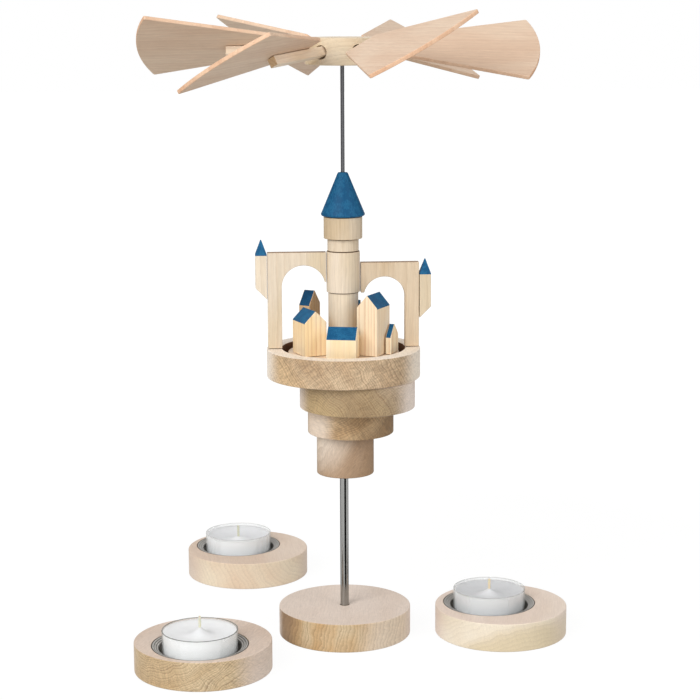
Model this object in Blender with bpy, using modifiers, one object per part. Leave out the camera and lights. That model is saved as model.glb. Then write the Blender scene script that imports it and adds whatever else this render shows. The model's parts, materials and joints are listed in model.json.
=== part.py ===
# Candle carousel: a small wooden island with a castle on it hangs from a steel
# spindle and turns on a needle bearing, driven by a six-blade propeller above it.
# Three tealight holders stand free around the stand.
# Metres, +Z up. The origin is on the spindle's axis, on the table under the base.

from math import asin, cos, pi, radians, sin, sqrt, tan

import bmesh
import bpy
from mathutils import Matrix, Vector

# Clearances and small details shared by many pieces
GAP = 0.0003                    # between two pieces that seat on or butt against each other
RUNNING_FIT = 0.0001            # round the spindle in the bush that guides it
EDGE_CHAMFER = 0.0005           # sanded edges of the turned discs
CUT_OVERRUN = 0.002             # how far a cutter stands out of what it cuts
MERGE_DISTANCE = 0.000001
SHARP_DEGREES = 30.0
LEAST_SPEED = 0.02              # a side that a house nearly slides along can't clear it

# Roundness of the turned pieces
DISC_STEPS = 48
DRUM_STEPS = 32
CUP_STEPS = 40
ROD_STEPS = 20
WICK_STEPS = 12

# Stand: base, tube, needle seat and guide bush
BASE_RADIUS = 0.035
BASE_HEIGHT = 0.015
BASE_SKIN = 0.0025              # wood left under the tube's bore
TUBE_RADIUS = 0.00225
TUBE_WALL = 0.0006
TUBE_HEADROOM = 0.0045          # from the tube's end up to the island plate
SEAT_HEIGHT = 0.003
SEAT_DIMPLE_DEPTH = 0.0012
BUSH_LENGTH = 0.006
BUSH_FLANGE = 0.001

# Spindle
SPINDLE_RADIUS = 0.001
NEEDLE_LENGTH = 0.003
PRESS_CLEARANCE = 0.00015       # round the spindle where a piece is fixed to it
BARE_SPINDLE = 0.0547           # from the tower roof up to the propeller hub

# Island: three discs set off the axis, a plate with a recess, a floor in it
KEEL_LIFT = 0.0879              # from the table to the keel's underside
KEEL_RADIUS = 0.015
KEEL_HEIGHT = 0.0217
KEEL_SHIFT_X = 0.0007
SMALL_DISC_RADIUS = 0.0225
SMALL_DISC_HEIGHT = 0.0147
SMALL_DISC_SHIFT_X = 0.0036
LARGE_DISC_RADIUS = 0.030
LARGE_DISC_HEIGHT = 0.0147
LARGE_DISC_SHIFT_X = 0.0071
LARGE_DISC_SHIFT_Y = -0.0064
TUBE_PASSAGE = 0.00075          # free room round the tube inside the turning discs
PLATE_RADIUS = 0.040
PLATE_HEIGHT = 0.015
RIM_WIDTH = 0.008
RECESS_DEPTH = 0.010
FLOOR_DROP = 0.002              # the floor lies this far under the rim
FLOOR_GROOVE = 0.003            # open groove round the floor

# Tower, from the floor up
SHAFT_RADIUS = 0.0078
SHAFT_HEIGHT = 0.0308
COLLAR_RADIUS = 0.00866
COLLAR_HEIGHT = 0.0212
NECK_RADIUS = 0.0081
NECK_HEIGHT = 0.0061
CROWN_RADIUS = 0.010
CROWN_HEIGHT = 0.0112
ROOF_RADIUS = 0.0115
ROOF_HEIGHT = 0.0225
ROOF_TOP_RADIUS = 0.0025
ROOF_LIP = 0.0008               # turned under the roof's edge

# Arches and their corner turrets
ARCH_THICKNESS = 0.005
ARCH_TURN = 4.0                 # degrees from the X axis
ARCH_STEPS = 14
LEG_INSET = 0.0007              # from the plate's edge in to the leg
HEEL_RISE = 0.0025              # the inner end stops this far above the springing
LEFT_ARCH_DROP = 0.0003         # from the collar's top down to the board's top
LEFT_ARCH_CROWN = 0.00675       # wood over the opening
LEFT_ARCH_HEEL = 0.00044        # wood between the tower and the opening
LEFT_TURRET_RISE = 0.0073       # from the board's top up to the turret's tip
RIGHT_ARCH_DROP = 0.0060
RIGHT_ARCH_CROWN = 0.0074
RIGHT_ARCH_HEEL = 0.0015
RIGHT_TURRET_RISE = 0.0022
TURRET_SIDE = 0.0059
TURRET_LENGTH = 0.0315
TURRET_TIP = 0.0082

# Houses: blocks with a painted saddle roof. The places are shares of the floor's
# radius, and each house is moved along push until it clears the tower and the houses
# before it.
HOUSES = {
    "house_front": {
        "length": 0.0155, "width": 0.012, "wall": 0.0105, "roof": 0.0055,
        "turn": -9.0, "x_share": -0.012, "y_share": -0.707, "push": 270.0},
    "house_front_left": {
        "length": 0.0167, "width": 0.012, "wall": 0.0174, "roof": 0.0059,
        "turn": -66.2, "x_share": -0.603, "y_share": -0.31, "push": 170.0},
    "house_back_left": {
        "length": 0.0063, "width": 0.0116, "wall": 0.0235, "roof": 0.0071,
        "turn": -27.7, "x_share": -0.61, "y_share": 0.31, "push": 120.0},
    "house_back": {
        "length": 0.0164, "width": 0.012, "wall": 0.018, "roof": 0.0061,
        "turn": 2.0, "x_share": 0.034, "y_share": 0.569, "push": 90.0},
    "house_right": {
        "length": 0.0164, "width": 0.0114, "wall": 0.0249, "roof": 0.00645,
        "turn": 65.3, "x_share": 0.531, "y_share": -0.328, "push": 55.0},
    "house_far_right": {
        "length": 0.003, "width": 0.012, "wall": 0.0091, "roof": 0.006,
        "turn": -20.0, "x_share": 0.86584, "y_share": -0.23, "push": -52.0},
}

# Propeller: hub, six square sticks and six blades
HUB_RADIUS = 0.019
HUB_HEIGHT = 0.0137
HUB_SKIN = 0.0027               # wood left over the spindle's bore
SOCKET_CLEARANCE = 0.00027      # round the stick's corners
SOCKET_WEB = 0.0018             # wood between the inner ends of the sockets
STICK_SIDE = 0.0047
STICK_REACH = 0.059             # from the axis to the stick's outer end
PIVOT_RADIUS = 0.015            # where the sticks' axes cross the middle of the hub wall
BLADE_THICKNESS = 0.002
BLADE_START = 0.0281            # from the axis to the blade's narrow end
BLADE_CORNER = 0.0958           # from the axis to the corners of the wide end
BLADE_BULGE = 0.0062            # crown of the wide end's arc
BLADE_START_WIDTH = 0.0186
BLADE_END_WIDTH = 0.0647
BLADE_ARC_STEPS = 14

# How each stick is set by hand, in degrees, and how its blade is glued on: the reach
# is a share of the blade's length, the side a share of its width
BLADES = {
    "left": {
        "azimuth": 181.4, "droop": 0.6, "pitch": 27.0, "reach_share": 0.027, "side_share": 0.012},
    "front_left": {
        "azimuth": 235.0, "droop": 5.2, "pitch": 26.1, "reach_share": 0.005, "side_share": 0.012},
    "front_right": {
        "azimuth": 295.3, "droop": -1.9, "pitch": 27.2, "reach_share": -0.018, "side_share": -0.011},
    "right": {
        "azimuth": 357.1, "droop": 1.6, "pitch": 24.5, "reach_share": -0.029, "side_share": -0.014},
    "back_right": {
        "azimuth": 59.8, "droop": 3.0, "pitch": 28.2, "reach_share": 0.013, "side_share": -0.01},
    "back_left": {
        "azimuth": 118.2, "droop": 1.5, "pitch": 30.4, "reach_share": 0.004, "side_share": -0.007},
}

# Tealight: clear cup, wax, wick and the tin foot that holds the wick
CUP_RADIUS = 0.01925
CUP_HEIGHT = 0.0177
CUP_WALL = 0.0009
WAX_DROP = 0.0016               # from the cup's rim down to the wax
WAX_CONE_RADIUS = 0.0055
WAX_CONE_RISE = 0.0024
WICK_RADIUS = 0.00075
WICK_RISE = 0.0068              # from the cup's rim up to the wick's tip
WICK_FOOT_RADIUS = 0.006
WICK_FOOT_THICKNESS = 0.0004
WICK_COLLAR_HEIGHT = 0.004

# Holder: turned disc with a stepped pocket, and a spun steel dish in it
HOLDER_RADIUS = 0.035
HOLDER_HEIGHT = 0.015
HOLDER_SKIN = 0.004             # wood left under the pocket
DISH_SHEET = 0.0005
DISH_ROOM = 0.00105             # free room round the cup at the dish's floor
DISH_DRAFT = 0.0004             # the well widens this much up to its mouth
DISH_LIP_WIDTH = 0.00365
DISH_LIP_DROP = 0.0014          # the lip slopes down this far into the well
LEFT_HOLDER_SPACE = 0.0210      # free table between the base and each holder
RIGHT_HOLDER_SPACE = 0.0135
BACK_HOLDER_SPACE = 0.0529

# Azimuths in degrees. The dish sits off the holder's middle, by a share of the room
# that the disc leaves beside it.
HOLDERS = {
    "front_left": {
        "space": LEFT_HOLDER_SPACE, "azimuth": 217.9, "dish_azimuth": 261.8, "shift_share": 0.66},
    "right": {
        "space": RIGHT_HOLDER_SPACE, "azimuth": -0.3, "dish_azimuth": 148.2, "shift_share": 0.66},
    "back_left": {
        "space": BACK_HOLDER_SPACE, "azimuth": 117.7, "dish_azimuth": 135.1, "shift_share": 0.78},
}

# Heights that follow from the stack, from the table up
seat_floor = BASE_SKIN + GAP
tube_floor = seat_floor + SEAT_HEIGHT + GAP
small_disc_floor = KEEL_LIFT + KEEL_HEIGHT + GAP
large_disc_floor = small_disc_floor + SMALL_DISC_HEIGHT + GAP
plate_floor = large_disc_floor + LARGE_DISC_HEIGHT + GAP
tube_top = plate_floor - TUBE_HEADROOM
rim_top = plate_floor + PLATE_HEIGHT
castle_floor = rim_top - RECESS_DEPTH + GAP
castle_ground = rim_top - FLOOR_DROP
shaft_floor = castle_ground + GAP
collar_floor = shaft_floor + SHAFT_HEIGHT + GAP
neck_floor = collar_floor + COLLAR_HEIGHT + GAP
crown_floor = neck_floor + NECK_HEIGHT + GAP
roof_floor = crown_floor + CROWN_HEIGHT + GAP
hub_floor = roof_floor + ROOF_HEIGHT + BARE_SPINDLE
hub_bore_top = hub_floor + HUB_HEIGHT - HUB_SKIN

# Radii that follow from what fits in what
tube_bore = TUBE_RADIUS - TUBE_WALL
passage_radius = TUBE_RADIUS + TUBE_PASSAGE
spindle_hole = SPINDLE_RADIUS + PRESS_CLEARANCE
recess_radius = PLATE_RADIUS - RIM_WIDTH
floor_radius = recess_radius - FLOOR_GROOVE
leg_outer = PLATE_RADIUS - LEG_INSET
socket_radius = STICK_SIDE / sqrt(2) + SOCKET_CLEARANCE
socket_floor = socket_radius / tan(pi / len(BLADES)) + SOCKET_WEB
well_radius = CUP_RADIUS + DISH_ROOM
dish_radius = well_radius + DISH_DRAFT + DISH_LIP_WIDTH
dish_shift_room = HOLDER_RADIUS - dish_radius
dish_floor = HOLDER_SKIN + GAP + DISH_SHEET
cup_floor = dish_floor + GAP

PARTS = "candle_carousel"
CUTTERS = "candle_carousel_cutters"


# Scene, collections and materials

def clear_scene():
    for obj in list(bpy.data.objects):
        bpy.data.objects.remove(obj, do_unlink=True)


def add_collection(name):
    bpy.context.scene.collection.children.link(bpy.data.collections.new(name))


def new_material(name, color, roughness, metallic=0.0, alpha=1.0):
    material = bpy.data.materials.new(name)
    material.use_nodes = True
    shader = material.node_tree.nodes["Principled BSDF"]
    shader.inputs["Base Color"].default_value = (*color, 1.0)
    shader.inputs["Roughness"].default_value = roughness
    shader.inputs["Metallic"].default_value = metallic
    shader.inputs["Alpha"].default_value = alpha
    material.diffuse_color = (*color, alpha)
    return material


def add_object(name, data, parent=None, collection=PARTS):
    obj = bpy.data.objects.new(name, data)
    bpy.data.collections[collection].objects.link(obj)
    obj.parent = parent
    return obj


def add_axis(name, location=(0, 0, 0), turn=None, parent=None):
    axis = add_object(name, None, parent)
    axis.empty_display_type = "ARROWS"
    axis.empty_display_size = BASE_HEIGHT
    axis.location = location
    if turn:
        axis.rotation_euler = turn.to_euler()
    return axis


# Modelling helpers

def evaluated_mesh(obj):
    depsgraph = bpy.context.evaluated_depsgraph_get()
    mesh = bpy.data.meshes.new_from_object(obj.evaluated_get(depsgraph))
    bm = bmesh.new()
    bm.from_mesh(mesh)
    bmesh.ops.remove_doubles(bm, verts=bm.verts, dist=MERGE_DISTANCE)
    bm.to_mesh(mesh)
    bm.free()
    mesh.name = obj.name
    return mesh


# Applies the modifiers and shades the piece smooth up to its sharp edges
def finish(obj, material):
    mesh = evaluated_mesh(obj)
    obj.modifiers.clear()
    obj.data = mesh
    mesh.materials.clear()
    mesh.materials.append(material)
    mesh.shade_smooth()
    mesh.set_sharp_from_angle(angle=radians(SHARP_DEGREES))
    return obj


# A profile of (radius, height) points, down the outer side, spun round Z
def turned(name, profile, steps, parent=None, closed=False, collection=PARTS):
    mesh = bpy.data.meshes.new(name)
    edges = [(k, k + 1) for k in range(len(profile) - 1)]
    if closed:
        edges.append((len(profile) - 1, 0))
    mesh.from_pydata([(radius, 0, height) for radius, height in profile], edges, [])
    obj = add_object(name, mesh, parent, collection)
    screw = obj.modifiers.new("Turn", "SCREW")
    screw.angle = 2 * pi
    screw.steps = steps
    screw.render_steps = steps
    screw.use_merge_vertices = True
    screw.merge_threshold = MERGE_DISTANCE
    return obj


# The outer side of a turned disc, from its top face to its bottom face
def sanded_side(radius, height):
    return [
        (radius - EDGE_CHAMFER, height),
        (radius, height - EDGE_CHAMFER),
        (radius, EDGE_CHAMFER),
        (radius - EDGE_CHAMFER, 0),
    ]


def ring_profile(bore, radius, height):
    return [(bore, height), (radius, height), (radius, 0), (bore, 0)]


def box_mesh(name, size, centre):
    bm = bmesh.new()
    matrix = Matrix.Translation(centre) @ Matrix.Diagonal((*size, 1))
    bmesh.ops.create_cube(bm, size=1, matrix=matrix)
    mesh = bpy.data.meshes.new(name)
    bm.to_mesh(mesh)
    bm.free()
    return mesh


# A flat outline given thickness on both sides of its plane
def flat_piece(name, outline, thickness, material, parent):
    curve = bpy.data.curves.new(name + "_outline", "CURVE")
    curve.dimensions = "2D"
    curve.fill_mode = "BOTH"
    curve.extrude = thickness / 2
    spline = curve.splines.new("POLY")
    spline.points.add(len(outline) - 1)
    for point, (x, y) in zip(spline.points, outline):
        point.co = (x, y, 0, 1)
    spline.use_cyclic_u = True
    source = add_object(name + "_outline", curve)
    bpy.context.view_layer.update()
    mesh = evaluated_mesh(source)
    bpy.data.objects.remove(source, do_unlink=True)
    mesh.name = name
    mesh.materials.append(material)
    return add_object(name, mesh, parent)


def cut(obj, cutter):
    cutter.hide_render = True
    cutter.display_type = "WIRE"
    boolean = obj.modifiers.new(cutter.name, "BOOLEAN")
    boolean.operation = "DIFFERENCE"
    boolean.solver = "EXACT"
    boolean.object = cutter


def arc(centre_x, centre_y, radius, start, end, steps):
    points = []
    for k in range(steps + 1):
        angle = start + (end - start) * k / steps
        points.append((centre_x + radius * cos(angle), centre_y + radius * sin(angle)))
    return points


# Stand

def make_base(wood):
    bore = TUBE_RADIUS + GAP
    profile = [(0, BASE_SKIN), (bore, BASE_SKIN), (bore, BASE_HEIGHT)]
    profile += sanded_side(BASE_RADIUS, BASE_HEIGHT) + [(0, 0)]
    finish(turned("base_disc", profile, DISC_STEPS), wood)


def make_tube(steel):
    profile = ring_profile(tube_bore, TUBE_RADIUS, tube_top - tube_floor)
    tube = turned("support_tube", profile, ROD_STEPS, closed=True)
    tube.location.z = tube_floor
    finish(tube, steel)


def make_needle_seat(steel):
    profile = [
        (0, SEAT_HEIGHT - SEAT_DIMPLE_DEPTH),
        (SPINDLE_RADIUS, SEAT_HEIGHT),
        (TUBE_RADIUS, SEAT_HEIGHT),
        (TUBE_RADIUS, 0),
        (0, 0),
    ]
    seat = turned("needle_seat", profile, ROD_STEPS)
    seat.location.z = seat_floor
    finish(seat, steel)


def make_guide_bush(brass):
    barrel = tube_bore - PRESS_CLEARANCE
    bore = SPINDLE_RADIUS + RUNNING_FIT
    top = BUSH_LENGTH + BUSH_FLANGE
    profile = [
        (bore, top),
        (TUBE_RADIUS, top),
        (TUBE_RADIUS, BUSH_LENGTH),
        (barrel, BUSH_LENGTH),
        (barrel, 0),
        (bore, 0),
    ]
    bush = turned("guide_bush", profile, ROD_STEPS, closed=True)
    bush.location.z = tube_top + GAP - BUSH_LENGTH
    finish(bush, brass)


# Carousel

def make_spindle(steel, carousel):
    tip = seat_floor + SEAT_HEIGHT - SEAT_DIMPLE_DEPTH + GAP
    top = hub_bore_top - GAP
    profile = [
        (0, top),
        (SPINDLE_RADIUS, top),
        (SPINDLE_RADIUS, tip + NEEDLE_LENGTH),
        (0, tip),
    ]
    finish(turned("spindle", profile, ROD_STEPS, parent=carousel), steel)


def make_island_disc(name, radius, height, place, wood, carousel):
    profile = [(0, height)] + sanded_side(radius, height) + [(0, 0)]
    disc = turned(name, profile, DISC_STEPS, parent=carousel)
    disc.location = place
    bore = [(0, height + CUT_OVERRUN), (passage_radius, height + CUT_OVERRUN)]
    bore += [(passage_radius, -CUT_OVERRUN), (0, -CUT_OVERRUN)]
    cutter = turned(name + "_bore", bore, ROD_STEPS, carousel, collection=CUTTERS)
    cutter.location.z = place[2]
    cut(disc, cutter)
    finish(disc, wood)


def make_island_plate(wood, carousel):
    recess = PLATE_HEIGHT - RECESS_DEPTH
    profile = [(spindle_hole, recess), (recess_radius, recess), (recess_radius, PLATE_HEIGHT)]
    profile += sanded_side(PLATE_RADIUS, PLATE_HEIGHT) + [(spindle_hole, 0)]
    plate = turned("island_plate", profile, DISC_STEPS, parent=carousel, closed=True)
    plate.location.z = plate_floor
    finish(plate, wood)


def make_castle_floor(wood, carousel):
    profile = ring_profile(spindle_hole, floor_radius, castle_ground - castle_floor)
    ground = turned("castle_floor", profile, DISC_STEPS, parent=carousel, closed=True)
    ground.location.z = castle_floor
    finish(ground, wood)


def make_drum(name, radius, height, floor, wood, carousel):
    profile = ring_profile(spindle_hole, radius, height)
    drum = turned(name, profile, DRUM_STEPS, parent=carousel, closed=True)
    drum.location.z = floor
    finish(drum, wood)


def make_tower_roof(paint, carousel):
    profile = [
        (spindle_hole, ROOF_HEIGHT),
        (ROOF_TOP_RADIUS - EDGE_CHAMFER, ROOF_HEIGHT),
        (ROOF_TOP_RADIUS, ROOF_HEIGHT - EDGE_CHAMFER),
        (ROOF_RADIUS, ROOF_LIP),
        (ROOF_RADIUS - ROOF_LIP, 0),
        (spindle_hole, 0),
    ]
    roof = turned("tower_roof", profile, DRUM_STEPS, parent=carousel, closed=True)
    roof.location.z = roof_floor
    finish(roof, paint)


# The board's outline runs up the leg, over the top, down the end that meets the tower
# and back round the opening. Its foot stands on the rim at height zero.
def make_arch(side, azimuth, drop, crown, heel, turret_rise, materials, carousel):
    foot = rim_top + GAP
    inner_end = COLLAR_RADIUS + GAP
    top = collar_floor + COLLAR_HEIGHT - drop - foot
    opening = (recess_radius - inner_end - heel) / 2
    middle = inner_end + heel + opening
    spring = top - crown - opening
    heel_angle = pi - asin(HEEL_RISE / opening)
    outline = [(recess_radius, 0), (leg_outer, 0), (leg_outer, top), (inner_end, top)]
    outline.append((inner_end, spring + HEEL_RISE))
    outline += arc(middle, spring, opening, heel_angle, 0, ARCH_STEPS)
    board = flat_piece("arch_" + side, outline, ARCH_THICKNESS, materials["wood"], carousel)
    board.location.z = foot
    board.rotation_euler = (pi / 2, 0, radians(azimuth))

    length = TURRET_LENGTH - TURRET_TIP
    outward = leg_outer + GAP + TURRET_SIDE / 2
    mesh = box_mesh("turret_" + side, (TURRET_SIDE, TURRET_SIDE, length), (0, 0, length / 2))
    bm = bmesh.new()
    bm.from_mesh(mesh)
    bm.verts.ensure_lookup_table()
    outer_foot = [v for v in bm.verts if v.co.x > 0 and v.co.z < length / 2]
    bmesh.ops.translate(bm, verts=outer_foot, vec=(0, 0, TURRET_SIDE))
    top_face = max(bm.faces, key=lambda face: face.calc_center_median().z)
    tip = bmesh.ops.poke(bm, faces=[top_face], offset=TURRET_TIP)
    for face in tip["faces"]:
        face.material_index = 1
    bm.to_mesh(mesh)
    bm.free()
    mesh.materials.append(materials["wood"])
    mesh.materials.append(materials["paint"])
    turret = add_object("turret_" + side, mesh, carousel)
    place = Matrix.Rotation(radians(azimuth), 4, "Z") @ Vector((outward, 0, 0))
    turret.location = (place.x, place.y, foot + top + turret_rise - TURRET_LENGTH)
    turret.rotation_euler.z = radians(azimuth)


def direction(degrees):
    return Vector((cos(radians(degrees)), sin(radians(degrees))))


# Half of what a footprint measures across side
def half_width(footprint, side):
    halves = zip(footprint["sides"], footprint["halves"])
    return footprint["radius"] + sum(abs(axis.dot(side)) * half for axis, half in halves)


# How far a house has to move along way until a gap separates it from another footprint:
# two are apart as soon as one of their sides separates them
def distance_to_clear(house, other, way):
    needed = []
    for side in (*house["sides"], *other["sides"]):
        reach = GAP + half_width(house, side) + half_width(other, side)
        apart = (house["place"] - other["place"]).dot(side)
        speed = way.dot(side)
        if abs(apart) >= reach:
            return 0
        if abs(speed) > LEAST_SPEED:
            needed.append((reach - apart if speed > 0 else reach + apart) / abs(speed))
    return min(needed)


def place_houses():
    placed = {}
    tower = {"place": Vector((0, 0)), "sides": (), "halves": (), "radius": SHAFT_RADIUS}
    for name, form in HOUSES.items():
        along = direction(form["turn"])
        house = {
            "place": Vector((form["x_share"], form["y_share"])) * floor_radius,
            "sides": (along, Vector((-along.y, along.x))),
            "halves": (form["length"] / 2, form["width"] / 2),
            "radius": 0,
        }
        way = direction(form["push"])
        for other in (tower, *placed.values()):
            house["place"] += way * distance_to_clear(house, other, way)
        placed[name] = house
    return placed


def make_house(name, form, place, materials, carousel):
    size = (form["length"], form["width"], form["wall"])
    mesh = box_mesh(name, size, (0, 0, form["wall"] / 2))
    bm = bmesh.new()
    bm.from_mesh(mesh)
    geometry = bm.verts[:] + bm.edges[:] + bm.faces[:]
    halving = bmesh.ops.bisect_plane(bm, geom=geometry, plane_co=(0, 0, 0), plane_no=(0, 1, 0))
    middle = [item for item in halving["geom_cut"] if isinstance(item, bmesh.types.BMVert)]
    ridge = [v for v in middle if v.co.z > form["wall"] / 2]
    bmesh.ops.translate(bm, verts=ridge, vec=(0, 0, form["roof"]))
    for face in bm.faces:
        face.normal_update()
        if 0 < face.normal.z < 1:
            face.material_index = 1
    bm.to_mesh(mesh)
    bm.free()
    mesh.materials.append(materials["wood"])
    mesh.materials.append(materials["paint"])
    house = add_object(name, mesh, carousel)
    house.location = (place.x, place.y, castle_ground + GAP)
    house.rotation_euler.z = radians(form["turn"])


# The frame of one stick: X out along it, Y across the blade, Z out of its top
def stick_frame(setting):
    azimuth = radians(setting["azimuth"])
    turn = Matrix.Rotation(azimuth, 3, "Z")
    turn = turn @ Matrix.Rotation(radians(setting["droop"]), 3, "Y")
    turn = turn @ Matrix.Rotation(radians(setting["pitch"]), 3, "X")
    middle = hub_floor + HUB_HEIGHT / 2
    place = Vector((PIVOT_RADIUS * cos(azimuth), PIVOT_RADIUS * sin(azimuth), middle))
    return place, turn


def make_blade(side, setting, materials, carousel):
    place, turn = stick_frame(setting)
    axis = add_axis("blade_" + side + "_axis", place, turn, carousel)

    start = socket_floor + GAP - PIVOT_RADIUS
    end = STICK_REACH - PIVOT_RADIUS
    size = (end - start, STICK_SIDE, STICK_SIDE)
    mesh = box_mesh("blade_stick_" + side, size, ((start + end) / 2, 0, 0))
    mesh.materials.append(materials["wood"])
    add_object("blade_stick_" + side, mesh, axis)

    narrow = BLADE_START_WIDTH / 2
    wide = BLADE_END_WIDTH / 2
    near = BLADE_START - PIVOT_RADIUS
    corner = BLADE_CORNER - PIVOT_RADIUS
    radius = (wide ** 2 + BLADE_BULGE ** 2) / (2 * BLADE_BULGE)
    half_angle = asin(wide / radius)
    centre = corner + BLADE_BULGE - radius
    outline = [(near, narrow), (near, -narrow)]
    outline += arc(centre, 0, radius, -half_angle, half_angle, BLADE_ARC_STEPS)
    blade = flat_piece("blade_" + side, outline, BLADE_THICKNESS, materials["wood"], axis)
    reach = setting["reach_share"] * (BLADE_CORNER + BLADE_BULGE - BLADE_START)
    sideways = setting["side_share"] * BLADE_END_WIDTH
    blade.location = (reach, sideways, STICK_SIDE / 2 + GAP + BLADE_THICKNESS / 2)


def make_hub(wood, carousel):
    bore_depth = hub_bore_top - hub_floor
    profile = [(0, HUB_HEIGHT)] + sanded_side(HUB_RADIUS, HUB_HEIGHT)
    profile += [(spindle_hole, 0), (spindle_hole, bore_depth), (0, bore_depth)]
    hub = turned("propeller_hub", profile, DISC_STEPS, parent=carousel)
    hub.location.z = hub_floor
    depth = HUB_RADIUS + CUT_OVERRUN - socket_floor
    middle = Matrix.Translation((socket_floor + depth / 2 - PIVOT_RADIUS, 0, 0))
    for side, setting in BLADES.items():
        bm = bmesh.new()
        bmesh.ops.create_cone(
            bm, cap_ends=True, segments=ROD_STEPS, radius1=socket_radius, radius2=socket_radius,
            depth=depth, matrix=middle @ Matrix.Rotation(pi / 2, 4, "Y"))
        mesh = bpy.data.meshes.new("socket_" + side)
        bm.to_mesh(mesh)
        bm.free()
        cutter = add_object("socket_" + side, mesh, carousel, CUTTERS)
        place, turn = stick_frame(setting)
        cutter.location = place
        cutter.rotation_euler = turn.to_euler()
        cut(hub, cutter)
    finish(hub, wood)


# Holders and tealights

def make_holder(side, setting, materials):
    reach = BASE_RADIUS + setting["space"] + HOLDER_RADIUS
    place = direction(setting["azimuth"]) * reach
    axis = add_axis("holder_" + side + "_axis", (place.x, place.y, 0))
    shift = direction(setting["dish_azimuth"]) * dish_shift_room * setting["shift_share"]
    name = "holder_" + side

    profile = [(0, HOLDER_HEIGHT)] + sanded_side(HOLDER_RADIUS, HOLDER_HEIGHT) + [(0, 0)]
    disc = turned(name, profile, DISC_STEPS, parent=axis)
    ledge = HOLDER_HEIGHT - DISH_LIP_DROP - DISH_SHEET - GAP
    well = well_radius + DISH_DRAFT + DISH_SHEET + GAP
    pocket = [
        (0, HOLDER_HEIGHT + CUT_OVERRUN),
        (dish_radius + GAP, HOLDER_HEIGHT + CUT_OVERRUN),
        (dish_radius + GAP, ledge),
        (well, ledge),
        (well, HOLDER_SKIN),
        (0, HOLDER_SKIN),
    ]
    cutter = turned(name + "_pocket", pocket, CUP_STEPS, axis, collection=CUTTERS)
    cutter.location = (shift.x, shift.y, 0)
    cut(disc, cutter)
    finish(disc, materials["wood"])

    mouth = HOLDER_HEIGHT - DISH_LIP_DROP
    under = dish_floor - DISH_SHEET
    profile = [
        (0, dish_floor),
        (well_radius, dish_floor),
        (well_radius + DISH_DRAFT, mouth),
        (dish_radius, HOLDER_HEIGHT),
        (dish_radius, HOLDER_HEIGHT - DISH_SHEET),
        (well_radius + DISH_DRAFT + DISH_SHEET, mouth - DISH_SHEET),
        (well_radius + DISH_SHEET, under),
        (0, under),
    ]
    dish = turned("dish_" + side, profile, CUP_STEPS, parent=axis)
    dish.location = (shift.x, shift.y, 0)
    finish(dish, materials["dish"])
    make_tealight(side, shift, materials, axis)


def make_tealight(side, shift, materials, holder):
    axis = add_axis("tealight_" + side + "_axis", (shift.x, shift.y, cup_floor), parent=holder)
    inside = CUP_RADIUS - CUP_WALL
    profile = [
        (0, CUP_WALL),
        (inside, CUP_WALL),
        (inside, CUP_HEIGHT),
        (CUP_RADIUS, CUP_HEIGHT),
        (CUP_RADIUS, 0),
        (0, 0),
    ]
    finish(turned("tealight_cup_" + side, profile, CUP_STEPS, parent=axis), materials["cup"])

    foot = CUP_WALL + GAP
    hole = WICK_RADIUS + PRESS_CLEARANCE
    collar = hole + WICK_FOOT_THICKNESS
    foot_profile = [
        (hole, WICK_COLLAR_HEIGHT),
        (collar, WICK_COLLAR_HEIGHT),
        (collar, WICK_FOOT_THICKNESS),
        (WICK_FOOT_RADIUS, WICK_FOOT_THICKNESS),
        (WICK_FOOT_RADIUS, 0),
        (hole, 0),
    ]
    wick_foot = turned("wick_foot_" + side, foot_profile, ROD_STEPS, parent=axis, closed=True)
    wick_foot.location.z = foot
    finish(wick_foot, materials["steel"])

    wick = [(0, CUP_HEIGHT + WICK_RISE), (WICK_RADIUS, CUP_HEIGHT + WICK_RISE)]
    wick += [(WICK_RADIUS, foot), (0, foot)]
    finish(turned("wick_" + side, wick, WICK_STEPS, parent=axis), materials["wick"])

    level = CUP_HEIGHT - WAX_DROP
    room = foot + WICK_FOOT_THICKNESS + GAP
    wax_profile = [
        (hole, level + WAX_CONE_RISE),
        (hole + (WAX_CONE_RADIUS - hole) / 2, level + WAX_CONE_RISE / 4),
        (WAX_CONE_RADIUS, level),
        (inside - GAP, level),
        (inside - GAP, foot),
        (WICK_FOOT_RADIUS + GAP, foot),
        (WICK_FOOT_RADIUS + GAP, room),
        (collar + GAP, room),
        (collar + GAP, foot + WICK_COLLAR_HEIGHT + GAP),
        (hole, foot + WICK_COLLAR_HEIGHT + GAP),
    ]
    wax = turned("wax_" + side, wax_profile, DRUM_STEPS, parent=axis, closed=True)
    finish(wax, materials["wax"])


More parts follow.
